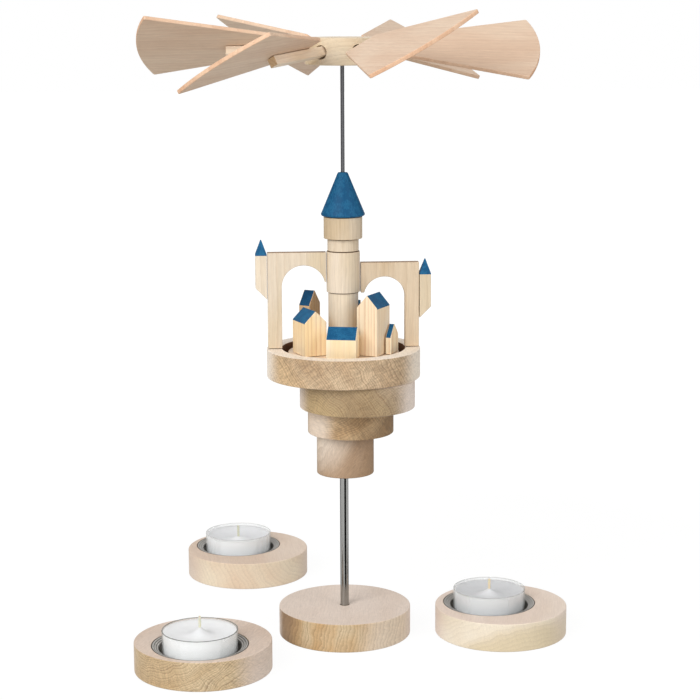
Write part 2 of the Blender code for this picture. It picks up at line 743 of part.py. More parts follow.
def main():
    clear_scene()
    add_collection(PARTS)
    add_collection(CUTTERS)

    maple = new_material("maple_turned", (0.61, 0.46, 0.32), 0.6)
    lime = new_material("lime_blades", (0.66, 0.48, 0.33), 0.6)
    pine = new_material("pine_houses", (0.75, 0.53, 0.31), 0.6)
    paint = new_material("blue_paint", (0.018, 0.115, 0.3), 0.55)
    steel = new_material("polished_steel", (0.35, 0.35, 0.35), 0.3, 1.0)
    spun_steel = new_material("spun_steel", (0.25, 0.25, 0.25), 0.4, 1.0)
    brass = new_material("brass_bush", (0.6, 0.42, 0.16), 0.35, 1.0)
    clear = new_material("clear_cup", (0.85, 0.87, 0.87), 0.1, 0.0, 0.35)
    wax = new_material("white_wax", (0.85, 0.85, 0.86), 0.5)
    cotton = new_material("cotton_wick", (0.72, 0.72, 0.6), 0.9)

    make_base(maple)
    make_tube(steel)
    make_needle_seat(steel)
    make_guide_bush(brass)

    carousel = add_axis("carousel_axis")
    make_spindle(steel, carousel)
    make_island_disc(
        "keel_disc", KEEL_RADIUS, KEEL_HEIGHT, (KEEL_SHIFT_X, 0, KEEL_LIFT), maple, carousel)
    make_island_disc(
        "small_disc", SMALL_DISC_RADIUS, SMALL_DISC_HEIGHT,
        (SMALL_DISC_SHIFT_X, 0, small_disc_floor), maple, carousel)
    make_island_disc(
        "large_disc", LARGE_DISC_RADIUS, LARGE_DISC_HEIGHT,
        (LARGE_DISC_SHIFT_X, LARGE_DISC_SHIFT_Y, large_disc_floor), maple, carousel)
    make_island_plate(maple, carousel)
    make_castle_floor(maple, carousel)
    make_drum("tower_shaft", SHAFT_RADIUS, SHAFT_HEIGHT, shaft_floor, maple, carousel)
    make_drum("tower_collar", COLLAR_RADIUS, COLLAR_HEIGHT, collar_floor, maple, carousel)
    make_drum("tower_neck", NECK_RADIUS, NECK_HEIGHT, neck_floor, maple, carousel)
    make_drum("tower_crown", CROWN_RADIUS, CROWN_HEIGHT, crown_floor, maple, carousel)
    make_tower_roof(paint, carousel)

    castle = {"wood": maple, "paint": paint}
    make_arch(
        "left", 180 + ARCH_TURN, LEFT_ARCH_DROP, LEFT_ARCH_CROWN, LEFT_ARCH_HEEL,
        LEFT_TURRET_RISE, castle, carousel)
    make_arch(
        "right", ARCH_TURN, RIGHT_ARCH_DROP, RIGHT_ARCH_CROWN, RIGHT_ARCH_HEEL,
        RIGHT_TURRET_RISE, castle, carousel)
    village = {"wood": pine, "paint": paint}
    for name, house in place_houses().items():
        make_house(name, HOUSES[name], house["place"], village, carousel)

    make_hub(maple, carousel)
    for side, setting in BLADES.items():
        make_blade(side, setting, {"wood": lime}, carousel)

    tableware = {
        "wood": maple, "dish": spun_steel, "cup": clear, "wax": wax, "wick": cotton, "steel": steel}
    for side, setting in HOLDERS.items():
        make_holder(side, setting, tableware)


if __name__ == "__main__":
    main()
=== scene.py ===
# Candle carousel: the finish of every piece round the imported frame.
# Sizes are in millimetres and are scaled to metres when a piece is placed.
import json
from math import asin, atan2, cos, pi, radians, sin

import bmesh
import bpy
from mathutils import Matrix, Vector


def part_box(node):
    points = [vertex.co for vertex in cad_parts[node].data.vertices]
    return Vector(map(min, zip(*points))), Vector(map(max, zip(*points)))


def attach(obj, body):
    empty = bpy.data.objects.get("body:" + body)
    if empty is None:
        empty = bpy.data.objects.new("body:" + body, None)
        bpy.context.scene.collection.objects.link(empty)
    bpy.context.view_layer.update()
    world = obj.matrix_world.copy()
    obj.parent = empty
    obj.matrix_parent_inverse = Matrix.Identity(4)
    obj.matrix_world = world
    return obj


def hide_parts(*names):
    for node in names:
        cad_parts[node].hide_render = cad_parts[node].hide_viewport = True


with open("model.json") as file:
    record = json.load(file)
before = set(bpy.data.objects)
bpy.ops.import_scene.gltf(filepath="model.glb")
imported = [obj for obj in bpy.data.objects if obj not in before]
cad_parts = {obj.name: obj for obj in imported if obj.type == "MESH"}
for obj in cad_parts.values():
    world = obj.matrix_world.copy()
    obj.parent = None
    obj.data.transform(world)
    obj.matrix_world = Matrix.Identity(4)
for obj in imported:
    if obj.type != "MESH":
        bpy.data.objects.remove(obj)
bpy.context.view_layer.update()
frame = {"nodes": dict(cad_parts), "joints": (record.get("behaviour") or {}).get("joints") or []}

mm = 0.001
print("frame loaded:", len(frame["nodes"]), "nodes")


# Helpers for materials

# An sRGB hex colour as the linear values that the shaders take
def hexColour(code):
    shares = [int(code[k:k + 2], 16) / 255 for k in (1, 3, 5)]
    linear = [s / 12.92 if s <= 0.04045 else ((s + 0.055) / 1.055) ** 2.4 for s in shares]
    return (*linear, 1.0)


# A look with its hex colours made linear
def readLook(look):
    return {key: hexColour(value) if isinstance(value, str) else value for key, value in look.items()}


# Fills sockets of a node, each with a value, another node's output, or a node, which stands
# for its first output
def fillSockets(tree, node, sockets):
    for socket, value in sockets.items():
        if isinstance(value, bpy.types.Node):
            value = value.outputs[0]
        if isinstance(value, bpy.types.NodeSocket):
            tree.links.new(value, node.inputs[socket])
        else:
            node.inputs[socket].default_value = value


# Adds a node with its settings and links. In a Map Range, 0 is the value, 1 and 2 its span,
# 3 and 4 what the span becomes. In a Mix, 0 is the share, 2 and 3 numbers, 6 and 7 colours.
def addNode(tree, kind, sockets=None, **settings):
    node = tree.nodes.new("ShaderNode" + kind)
    for key, value in settings.items():
        setattr(node, key, value)
    fillSockets(tree, node, sockets or {})
    return node


def newMaterial(name, **sockets):
    material = bpy.data.materials.new(name)
    material.use_nodes = True
    shader = material.node_tree.nodes["Principled BSDF"]
    for key, value in sockets.items():
        shader.inputs[key.replace("_", " ")].default_value = value
    return material, material.node_tree, shader


# Noise seldom leaves the middle of its range, so it is spread from there
noiseSpan = {1: 0.3, 2: 0.7}
driftSpan = {1: 0.35, 2: 0.65}

# Wood. Every wooden piece carries the attribute "grain": its place in the log it was cut
# from, in millimetres, with X along the grain and the pith on the X axis. "grainAxis"
# is the direction of the grain, so that end grain can be told from long grain. A board
# may have a heart of another tone within heartRadius of the pith (heartLong is how much of
# it shows on long grain) and sapwood of another tone beyond sapRadius. The values that end
# in Along draw a pattern out along the grain.
plainLook = {
    "swayAlong": 0.3, "fibreSize": 0.5, "fibreAlong": 0.05, "faintLine": 0.35, "sapLine": 0.5,
    "rayAlong": 0.4, "rayOut": 0.25, "rayTurn": 90.0, "rayLong": 0.15, "heart": "#8E6A46",
    "heartRadius": 0, "heartBlur": 6, "heartLong": 0.0, "sap": "#E6D4BF", "sapRadius": 1000,
    "sapBlur": 8, "stain": 0.85, "rougher": 0.08, "smoother": 0.05}
woodLooks = {
    # Beech disc, turned and sanded to about 180 grit: satin and rosy on its faces, golden
    # brown round its side, where the growth rings are cut across
    "turnedBeech": {
        "pale": "#E0CEBF", "deep": "#D7C1AF", "line": "#745030",
        "endPale": "#DBC29C", "endDeep": "#B8946A",
        "ringGap": 1.15, "gapDrift": 0.8, "ringWave": 1.4, "waveSize": 10.0, "ragged": 0.45,
        "lineFirm": 2.4, "longRings": 0.05, "endRings": 0.75, "endFrom": 0.05, "endFull": 0.5,
        "fibreShare": 0.11, "rayShare": 0.2, "rayTurn": 150.0, "rayLong": 0.4,
        "bandSize": 14.0, "patchSize": 24.0, "roughness": 0.55, "bumpHeight": 0.05},
    # Maple drums and boards of the castle, planed along the grain: pale, tight and even
    "planedMaple": {
        "pale": "#E4D4BE", "deep": "#DAC8AB", "line": "#AA8960",
        "endPale": "#96795A", "endDeep": "#7A5C40",
        "ringGap": 1.9, "gapDrift": 1.2, "ringWave": 0.8, "waveSize": 22.0, "ragged": 0.3,
        "lineFirm": 2.0, "longRings": 0.26, "endRings": 0.5, "endFrom": 0.3, "endFull": 0.8,
        "fibreShare": 0.11, "rayShare": 0.06,
        "bandSize": 9.0, "patchSize": 16.0, "roughness": 0.55, "bumpHeight": 0.04},
    # Sawn pine of the houses: cream early wood with orange late-wood stripes
    "sawnPine": {
        "pale": "#FCEACA", "deep": "#F7DDB0", "line": "#CC8848",
        "endPale": "#E9C690", "endDeep": "#D0A468",
        "ringGap": 1.6, "gapDrift": 1.2, "ringWave": 0.4, "waveSize": 34.0, "ragged": 0.2,
        "lineFirm": 3.2, "longRings": 0.6, "endRings": 0.7, "endFrom": 0.4, "endFull": 0.9,
        "fibreShare": 0.07, "rayShare": 0.03,
        "bandSize": 8.0, "patchSize": 12.0, "roughness": 0.6, "bumpHeight": 0.04},
    # Sliced lime of the blades: straight fine grain, a little rosy, matt
    "slicedLime": {
        "pale": "#E6CEB5", "deep": "#DCBDA2", "line": "#BA8866",
        "endPale": "#EDC8A8", "endDeep": "#DFB08C",
        "ringGap": 3.0, "gapDrift": 2.2, "ringWave": 2.0, "waveSize": 26.0, "ragged": 0.3,
        "lineFirm": 1.6, "longRings": 0.24, "endRings": 0.3, "endFrom": 0.02, "endFull": 0.2,
        "fibreSize": 0.45, "fibreShare": 0.12, "rayShare": 0.05,
        "bandSize": 12.0, "patchSize": 30.0, "roughness": 0.6, "bumpHeight": 0.04},
    # Sawn pine sticks: yellower than the blades, with a coarse saw finish
    "sawnStick": {
        "pale": "#F6E4CE", "deep": "#EED6B8", "line": "#B9936A",
        "endPale": "#DDBE96", "endDeep": "#C8A478",
        "ringGap": 1.6, "gapDrift": 1.0, "ringWave": 0.3, "waveSize": 20.0, "ragged": 0.3,
        "lineFirm": 2.0, "longRings": 0.26, "endRings": 0.6, "endFrom": 0.3, "endFull": 0.8,
        "fibreShare": 0.12, "rayShare": 0.05,
        "bandSize": 8.0, "patchSize": 12.0, "roughness": 0.65, "bumpHeight": 0.06},
}


def buildWood(name, look):
    look = readLook({**plainLook, **look})
    material, tree, shader = newMaterial(name, IOR=1.5)
    grain = addNode(tree, "Attribute", attribute_name="grain").outputs["Vector"]
    axis = addNode(tree, "Attribute", attribute_name="grainAxis").outputs["Vector"]
    normal = addNode(tree, "TexCoord").outputs["Normal"]

    # The rings sway along the log
    slow = addNode(tree, "Mapping", {"Vector": grain, "Scale": (look["swayAlong"], 1, 1)})
    sway = addNode(tree, "TexNoise", {
        "Vector": slow, "Scale": 1 / look["waveSize"], "Detail": 3.0, "Roughness": 0.5})
    centred = addNode(tree, "VectorMath", {0: sway.outputs["Color"], 1: (0.5, 0.5, 0.5)},
                      operation="SUBTRACT")
    shift = addNode(tree, "VectorMath", {0: centred, "Scale": 4 * look["ringWave"]}, operation="SCALE")
    swayed = addNode(tree, "VectorMath", {0: grain, 1: shift}, operation="ADD")

    # Fibres a hair wide, many times as long as they are wide
    drawn = addNode(tree, "Mapping", {"Vector": swayed, "Scale": (look["fibreAlong"], 1, 1)})
    fibre = addNode(tree, "TexNoise", {
        "Vector": drawn, "Scale": 1 / look["fibreSize"], "Detail": 3.0, "Roughness": 0.65})
    fibreTone = addNode(tree, "MapRange", {
        0: fibre, **noiseSpan, 3: 1 - look["fibreShare"], 4: 1 + look["fibreShare"] / 2})

    # Growth rings of uneven width: each darkens slowly and ends in a thin late-wood line,
    # firmer in some years than in others and ragged by the fibres
    across = addNode(tree, "VectorMath", {0: swayed, 1: (0, 1, 1)}, operation="MULTIPLY")
    radius = addNode(tree, "VectorMath", {0: across}, operation="LENGTH").outputs["Value"]
    years = addNode(tree, "Math", {0: radius, 1: look["ringGap"]}, operation="DIVIDE")
    spell = addNode(tree, "TexNoise", {"W": years, "Scale": 0.17, "Detail": 2.0}, noise_dimensions="1D")
    uneven = addNode(tree, "Math", {0: spell, 1: 2 * look["gapDrift"], 2: years},
                     operation="MULTIPLY_ADD")
    ragged = addNode(tree, "Math", {0: fibre, 1: look["ragged"], 2: uneven}, operation="MULTIPLY_ADD")
    season = addNode(tree, "Math", {0: ragged}, operation="FRACT")
    year = addNode(tree, "Math", {0: ragged}, operation="FLOOR")
    lateWood = addNode(tree, "Math", {0: season, 1: look["lineFirm"]}, operation="POWER")
    firmness = addNode(tree, "TexNoise", {"W": year, "Scale": 0.73}, noise_dimensions="1D")
    firm = addNode(tree, "MapRange", {0: firmness, 1: 0.3, 2: 0.65, 3: look["faintLine"], 4: 1.0})

    # How squarely the surface cuts the grain
    facing = addNode(tree, "VectorMath", {0: normal, 1: axis}, operation="DOT_PRODUCT").outputs[1]
    square = addNode(tree, "Math", {0: facing, 1: facing}, operation="MULTIPLY")
    endGrain = addNode(tree, "MapRange", {
        0: square, 1: look["endFrom"], 2: look["endFull"]}, interpolation_type="SMOOTHSTEP")
    ringShare = addNode(tree, "MapRange", {0: endGrain, 3: look["longRings"], 4: look["endRings"]})
    firmLine = addNode(tree, "Math", {0: lateWood, 1: firm}, operation="MULTIPLY")
    ringLine = addNode(tree, "Math", {0: firmLine, 1: ringShare}, operation="MULTIPLY")

    # Rays run out from the pith and cross the rings as short pale and dark dashes
    parts = addNode(tree, "SeparateXYZ", {0: swayed}).outputs
    angle = addNode(tree, "Math", {0: parts[2], 1: parts[1]}, operation="ARCTAN2")
    dashes = addNode(tree, "CombineXYZ", {0: parts[0], 1: radius, 2: angle})
    spread = addNode(tree, "Mapping", {
        "Vector": dashes, "Scale": (look["rayAlong"], look["rayOut"], look["rayTurn"])})
    ray = addNode(tree, "TexNoise", {"Vector": spread, "Scale": 1.0, "Detail": 1.0})
    rayMark = addNode(tree, "MapRange", {
        0: ray, **noiseSpan, 3: 1 - look["rayShare"], 4: 1 + look["rayShare"]})
    rayFade = addNode(tree, "MapRange", {0: endGrain, 3: look["rayLong"], 4: 1.0})
    rayTone = addNode(tree, "Mix", {0: rayFade, 2: 1.0, 3: rayMark})

    # Tones drift over a few centimetres, on the end grain in bands that follow the rings
    patch = addNode(tree, "TexNoise", {"Vector": slow, "Scale": 1 / look["patchSize"], "Detail": 2.0})
    drift = addNode(tree, "MapRange", {0: patch, **driftSpan}, interpolation_type="SMOOTHSTEP")
    band = addNode(tree, "TexNoise", {
        "W": radius, "Scale": 1 / look["bandSize"], "Detail": 1.0}, noise_dimensions="1D")
    bandTone = addNode(tree, "MapRange", {0: band, **driftSpan}, interpolation_type="SMOOTHSTEP")
    endDrift = addNode(tree, "Mix", {0: 0.5, 2: drift, 3: bandTone})
    longTone = addNode(tree, "Mix", {0: drift, 6: look["pale"], 7: look["deep"]},
                       data_type="RGBA").outputs[2]
    endTone = addNode(tree, "Mix", {0: endDrift, 6: look["endPale"], 7: look["endDeep"]},
                      data_type="RGBA").outputs[2]
    heart = addNode(tree, "MapRange", {
        0: radius, 1: look["heartRadius"] - look["heartBlur"],
        2: look["heartRadius"] + look["heartBlur"], 3: look["stain"], 4: 0.0},
        interpolation_type="SMOOTHSTEP")
    hearted = addNode(tree, "Mix", {0: heart, 6: endTone, 7: look["heart"]},
                      data_type="RGBA").outputs[2]
    sap = addNode(tree, "MapRange", {
        0: radius, 1: look["sapRadius"] - look["sapBlur"],
        2: look["sapRadius"] + look["sapBlur"], 3: 0.0, 4: look["stain"]},
        interpolation_type="SMOOTHSTEP")
    sapped = addNode(tree, "Mix", {0: sap, 6: hearted, 7: look["sap"]}, data_type="RGBA").outputs[2]
    plain = addNode(tree, "Mix", {0: endGrain, 6: longTone, 7: sapped}, data_type="RGBA").outputs[2]
    heartShown = addNode(tree, "Math", {0: heart, 1: look["heartLong"]}, operation="MULTIPLY")
    body = addNode(tree, "Mix", {0: heartShown, 6: plain, 7: look["heart"]},
                   data_type="RGBA").outputs[2]
    lineFade = addNode(tree, "MapRange", {0: sap, 3: 1.0, 4: look["sapLine"]})
    faded = addNode(tree, "Math", {0: ringLine, 1: lineFade}, operation="MULTIPLY")
    ringed = addNode(tree, "Mix", {0: faded, 6: body, 7: look["line"]}, data_type="RGBA").outputs[2]
    tone = addNode(tree, "Math", {0: fibreTone, 1: rayTone}, operation="MULTIPLY")
    shade = addNode(tree, "CombineColor", {0: tone, 1: tone, 2: tone})
    colour = addNode(tree, "Mix", {0: 1.0, 6: ringed, 7: shade},
                     data_type="RGBA", blend_type="MULTIPLY").outputs[2]
    roughness = addNode(tree, "MapRange", {
        0: fibre, **noiseSpan, 3: look["roughness"] + look["rougher"],
        4: look["roughness"] - look["smoother"]})
    relief = addNode(tree, "Math", {0: fibre, 1: ringLine}, operation="SUBTRACT")
    bump = addNode(tree, "Bump", {
        "Height": relief, "Strength": 0.5, "Distance": look["bumpHeight"] * mm})
    fillSockets(tree, shader, {"Base Color": colour, "Roughness": roughness, "Normal": bump})
    return material


# A wood with what one board has of its own
def ownWood(kind, name, changes):
    return buildWood(kind + "_" + name, {**woodLooks[kind], **changes})


# Matt blue furniture paint, brushed on thinly: the fibres print through a little and
# the tone drifts where the coat is thinner
paintLooks = {
    "mattBluePaint": {"full": "#0B507A", "thin": "#1F668F"},
    # The same blue darker: painted shade on the back-left house's roof
    "shadedBluePaint": {"full": "#043E63", "thin": "#0C4E76"},
}
paintFinish = {"fibreSize": 0.5, "fibreAlong": 0.15, "coatSize": 4.0, "thinFrom": 0.2,
               "thinFull": 0.32, "thinMost": 0.85, "roughness": 0.54, "roughSpread": 0.06,
               "bumpHeight": 0.04, "sheen": 0.2}


def buildPaint(name):
    look = readLook({**paintFinish, **paintLooks[name]})
    material, tree, shader = newMaterial(name, IOR=1.5, Specular_IOR_Level=look["sheen"])
    grain = addNode(tree, "Attribute", attribute_name="grain").outputs["Vector"]
    drawn = addNode(tree, "Mapping", {"Vector": grain, "Scale": (look["fibreAlong"], 1, 1)})
    fibre = addNode(tree, "TexNoise", {"Vector": drawn, "Scale": 1 / look["fibreSize"], "Detail": 3.0})
    coat = addNode(tree, "TexNoise", {"Vector": grain, "Scale": 1 / look["coatSize"], "Detail": 3.0})
    blend = addNode(tree, "Math", {0: fibre, 1: coat}, operation="MULTIPLY")
    thin = addNode(tree, "MapRange", {
        0: blend, 1: look["thinFrom"], 2: look["thinFull"], 3: 0.0, 4: look["thinMost"]})
    colour = addNode(tree, "Mix", {0: thin, 6: look["full"], 7: look["thin"]},
                     data_type="RGBA").outputs[2]
    roughness = addNode(tree, "MapRange", {
        0: coat, **noiseSpan, 3: look["roughness"] - look["roughSpread"],
        4: look["roughness"] + look["roughSpread"]})
    bump = addNode(tree, "Bump", {
        "Height": fibre, "Strength": 0.4, "Distance": look["bumpHeight"] * mm})
    fillSockets(tree, shader, {"Base Color": colour, "Roughness": roughness, "Normal": bump})
    return material


# Metals. Each has fine marks left by how it was made: rings where it was turned or
# spun, long scratches where it was drawn.
metalLooks = {
    # Drawn stainless tube: bright, with faint lengthwise die marks
    "drawnStainless": {
        "bright": "#ABABA9", "dull": "#8E8E8C", "roughness": 0.16, "stretch": (1, 1, 0.02),
        "markSize": 0.35},
    # Ground silver steel of the spindle: darker, fine rings round it
    "groundSteel": {
        "bright": "#6E6E70", "dull": "#535356", "roughness": 0.34, "stretch": (0.05, 0.05, 1),
        "markSize": 0.3},
    # Turned brass of the bush
    "turnedBrass": {
        "bright": "#D9B56A", "dull": "#B98F45", "roughness": 0.28, "stretch": (0.05, 0.05, 1),
        "markSize": 0.25},
    # Pressed tinplate of the wick's foot
    "tinplate": {
        "bright": "#C9C8C4", "dull": "#A9A8A4", "roughness": 0.38, "stretch": (1, 0.2, 1),
        "markSize": 0.8},
}
metalFinish = {"rougher": 0.07, "smoother": 0.05, "markDepth": 0.01}


def buildMetal(name):
    look = readLook({**metalFinish, **metalLooks[name]})
    material, tree, shader = newMaterial(name, Metallic=1.0)
    place = addNode(tree, "TexCoord").outputs["Object"]
    stretched = addNode(tree, "Mapping", {"Vector": place, "Scale": look["stretch"]})
    marks = addNode(tree, "TexNoise", {
        "Vector": stretched, "Scale": 1 / (look["markSize"] * mm), "Detail": 3.0})
    colour = addNode(tree, "Mix", {0: marks, 6: look["dull"], 7: look["bright"]},
                     data_type="RGBA").outputs[2]
    roughness = addNode(tree, "MapRange", {
        0: marks, **noiseSpan, 3: look["roughness"] + look["rougher"],
        4: look["roughness"] - look["smoother"]})
    bump = addNode(tree, "Bump", {"Height": marks, "Strength": 0.3, "Distance": look["markDepth"] * mm})
    fillSockets(tree, shader, {"Base Color": colour, "Roughness": roughness, "Normal": bump})
    return material


# Spun sheet steel of the dishes, in bright and grey rings. The spinning tool leaves them
# about 0.5 mm apart: they are drawn 1.1 mm apart and deeper than real, so that they show.
spunLook = {"bright": "#FFFAF2", "dull": "#45413B", "ringGap": 1.1, "ringDepth": 0.03, "smear": 0.35,
            "roughness": 0.4, "rougher": 0.1, "smoother": 0.05}
waveTurn = 2 * pi / 20  # the scale at which a wave texture has one ring to the unit


def buildSpunSteel():
    look = readLook(spunLook)
    material, tree, shader = newMaterial("spunSteel", Metallic=0.5)
    grain = addNode(tree, "Attribute", attribute_name="grain").outputs["Vector"]
    rings = addNode(tree, "TexWave", {
        "Vector": grain, "Scale": waveTurn / look["ringGap"], "Distortion": 0.6, "Detail": 2.0,
        "Detail Scale": 0.4}, wave_type="RINGS", rings_direction="Z", wave_profile="SIN").outputs["Fac"]
    smear = addNode(tree, "TexNoise", {"Vector": grain, "Scale": look["smear"], "Detail": 4.0})
    tone = addNode(tree, "Math", {0: rings, 1: smear}, operation="MULTIPLY")
    colour = addNode(tree, "Mix", {0: tone, 6: look["dull"], 7: look["bright"]},
                     data_type="RGBA").outputs[2]
    roughness = addNode(tree, "MapRange", {
        0: smear, **noiseSpan, 3: look["roughness"] - look["smoother"],
        4: look["roughness"] + look["rougher"]})
    bump = addNode(tree, "Bump", {"Height": rings, "Strength": 0.5, "Distance": look["ringDepth"] * mm})
    fillSockets(tree, shader, {"Base Color": colour, "Roughness": roughness, "Normal": bump})
    return material


# Moulded polycarbonate of the cups: glossy, with faint flow waves from the mould, clear in
# one cup and milky in the others. It closes towards its outline.
cupFinish = {"roughness": 0.12, "roughSpread": 0.03, "flowSize": 3.3, "flowDepth": 0.1}


def buildClearCup(name, tint, squareOn, edgeOn):
    material, tree, shader = newMaterial(
        name, Base_Color=hexColour(tint), IOR=1.58, Transmission_Weight=0.35)
    grain = addNode(tree, "Attribute", attribute_name="grain").outputs["Vector"]
    flow = addNode(tree, "TexNoise", {
        "Vector": grain, "Scale": 1 / cupFinish["flowSize"], "Detail": 1.0})
    facing = addNode(tree, "LayerWeight", {"Blend": 0.35}).outputs["Facing"]
    closed = addNode(tree, "Math", {0: facing, 1: 2.0}, operation="POWER")
    alpha = addNode(tree, "MapRange", {0: closed, 3: squareOn, 4: edgeOn})
    roughness = addNode(tree, "MapRange", {
        0: flow, 3: cupFinish["roughness"] - cupFinish["roughSpread"],
        4: cupFinish["roughness"] + cupFinish["roughSpread"]})
    bump = addNode(tree, "Bump", {
        "Height": flow, "Strength": 0.2, "Distance": cupFinish["flowDepth"] * mm})
    fillSockets(tree, shader, {"Alpha": alpha, "Roughness": roughness, "Normal": bump})
    return material


# White paraffin, poured: light goes a few millimetres in, and the surface is softly
# dimpled and mottled where it set. The cone that rose round the wick has a tone of its own:
# painted light and shade on the cone, lighter than the level wax in two cups and darker in one.
waxFinish = {"lightDepth": 4.0, "mottle": 0.22, "roughLow": 0.42, "roughHigh": 0.56,
             "dimpleDepth": 0.3, "coneTip": 0.3}


def buildWax(name, pale, deep, cone, coneRadius):
    material, tree, shader = newMaterial(
        name, IOR=1.43, Subsurface_Weight=0.8, Subsurface_Scale=waxFinish["lightDepth"] * mm,
        Subsurface_Radius=(1.0, 0.99, 0.98))
    grain = addNode(tree, "Attribute", attribute_name="grain").outputs["Vector"]
    mottle = addNode(tree, "TexNoise", {"Vector": grain, "Scale": waxFinish["mottle"], "Detail": 4.0})
    level = addNode(tree, "Mix", {0: mottle, 6: hexColour(deep), 7: hexColour(pale)},
                    data_type="RGBA").outputs[2]
    # Round the wick the cone's tone takes over from the level wax: painted light and shade of the cone
    across = addNode(tree, "VectorMath", {0: grain, 1: (1, 1, 0)}, operation="MULTIPLY")
    away = addNode(tree, "VectorMath", {0: across}, operation="LENGTH").outputs["Value"]
    raised = addNode(tree, "MapRange", {
        0: away, 1: waxFinish["coneTip"] * coneRadius, 2: coneRadius, 3: 1.0, 4: 0.0})
    colour = addNode(tree, "Mix", {0: raised, 6: level, 7: hexColour(cone)},
                     data_type="RGBA").outputs[2]
    roughness = addNode(tree, "MapRange", {
        0: mottle, **noiseSpan, 3: waxFinish["roughLow"], 4: waxFinish["roughHigh"]})
    bump = addNode(tree, "Bump", {
        "Height": mottle, "Strength": 0.35, "Distance": waxFinish["dimpleDepth"] * mm})
    fillSockets(tree, shader, {"Base Color": colour, "Roughness": roughness, "Normal": bump})
    return material


# Cotton wick dipped in wax: cream, half see-through coat over the plaits
wickFinish = {"threadSize": 0.2, "threadAlong": 0.3, "coatDepth": 0.5, "reliefDepth": 0.1,
              "roughLow": 0.6, "roughHigh": 0.8}


def buildWick(name, pale, deep):
    material, tree, shader = newMaterial(
        name, IOR=1.45, Subsurface_Weight=0.2, Subsurface_Scale=wickFinish["coatDepth"] * mm)
    grain = addNode(tree, "Attribute", attribute_name="grain").outputs["Vector"]
    drawn = addNode(tree, "Mapping", {"Vector": grain, "Scale": (1, 1, wickFinish["threadAlong"])})
    threads = addNode(tree, "TexNoise", {
        "Vector": drawn, "Scale": 1 / wickFinish["threadSize"], "Detail": 2.0})
    colour = addNode(tree, "Mix", {0: threads, 6: hexColour(deep), 7: hexColour(pale)},
                     data_type="RGBA").outputs[2]
    roughness = addNode(tree, "MapRange", {
        0: threads, 3: wickFinish["roughLow"], 4: wickFinish["roughHigh"]})
    bump = addNode(tree, "Bump", {
        "Height": threads, "Strength": 0.6, "Distance": wickFinish["reliefDepth"] * mm})
    fillSockets(tree, shader, {"Base Color": colour, "Roughness": roughness, "Normal": bump})
    return material


woods = {name: buildWood(name, woodLooks[name]) for name in ("slicedLime", "sawnStick")}
metals = {name: buildMetal(name) for name in metalLooks}
paints = {name: buildPaint(name) for name in paintLooks}
spunSteel = buildSpunSteel()
print("materials built:", len(bpy.data.materials))


# Helpers for shapes

# A node's middle, lowest and highest corner and its radius in millimetres
def nodeBox(name):
    low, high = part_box(name)
    middle, low, high = (low + high) / 2 / mm, low / mm, high / mm
    return middle, low, high, (high.x - low.x) / 2


# The room that the frame leaves round the steel, and under what stands on something
fits = {"tubeRoom": 0.15, "spindleRoom": 0.1, "seatGap": 0.3}
tubeBore = nodeBox("support_tube")[3] + fits["tubeRoom"]
spindleBore = nodeBox("spindle")[3] + fits["spindleRoom"]


def vertsIn(geom):
    return [item for item in geom if isinstance(item, bmesh.types.BMVert)]


# Grows one skin through a stack of rings, each (radius, z) round the Z axis or (x, y, radius,
# z), and closes it: with a face on both ends, or by joining the last ring to the first one
# round a bore
def stackRings(rings, segments=128, bored=False):
    rings = [ring if len(ring) == 4 else (0, 0, *ring) for ring in rings]
    bm = bmesh.new()
    x, y, radius, z = rings[0]
    bmesh.ops.create_circle(bm, segments=segments, radius=radius, matrix=Matrix.Translation((x, y, z)))
    foot = loop = bm.edges[:]
    for u, v, nextRadius, height in rings[1:] + (rings[:1] if bored else []):
        grown = bmesh.ops.extrude_edge_only(bm, edges=loop)["geom"]
        verts = vertsIn(grown)
        raised = set(verts)
        loop = [item for item in grown
                if isinstance(item, bmesh.types.BMEdge) and raised.issuperset(item.verts)]
        share = nextRadius / radius
        bmesh.ops.scale(bm, vec=(share, share, 1), space=Matrix.Translation((-x, -y, 0)), verts=verts)
        bmesh.ops.translate(bm, vec=(u - x, v - y, height - z), verts=verts)
        x, y, radius, z = u, v, nextRadius, height
    if bored:
        bmesh.ops.remove_doubles(bm, verts=bm.verts, dist=0.001)
    else:
        bmesh.ops.contextual_create(bm, geom=foot)
        bmesh.ops.contextual_create(bm, geom=loop)
    bmesh.ops.recalc_face_normals(bm, faces=bm.faces)
    return bm


# The rings of a drum with a bore through it
def drumRings(low, high, radius, bore):
    return [(radius, low.z), (radius, high.z), (bore, high.z), (bore, low.z)]


# A sawn block between its lowest and highest corner
def sawBlock(low, high):
    low, high = Vector(low), Vector(high)
    bm = bmesh.new()
    bmesh.ops.create_cube(bm, size=1)
    bmesh.ops.scale(bm, vec=high - low, verts=bm.verts)
    bmesh.ops.translate(bm, vec=(low + high) / 2, verts=bm.verts)
    return bm


# Draws edges round the whole shape where a plane crosses it
def scoreRound(bm, place, normal):
    return bmesh.ops.bisect_plane(
        bm, geom=bm.verts[:] + bm.edges[:] + bm.faces[:], plane_co=place, plane_no=normal)["geom_cut"]


# The edges where two faces meet more sharply than angle
def sharpEdges(bm, angle=30):
    return [edge for edge in bm.edges
            if len(edge.link_faces) == 2 and edge.calc_face_angle() > radians(angle)]


def roundEdges(bm, edges, width, segments=3):
    bmesh.ops.bevel(
        bm, geom=edges, offset=width, offset_type="OFFSET", segments=segments, profile=0.5,
        affect="EDGES", material=-1, clamp_overlap=True)


def softenEdges(bm, width, angle=30, segments=3):
    roundEdges(bm, sharpEdges(bm, angle), width, segments)


# An arc of loose edges from a starting point, turned about the Y axis through centre
def sweepArc(bm, start, centre, angle, steps):
    vert = bm.verts.new(start)
    swept = bmesh.ops.spin(
        bm, geom=[vert], cent=centre, axis=(0, 1, 0), angle=angle, steps=steps, use_merge=False)
    return vert, vertsIn(swept["geom_last"])[0]


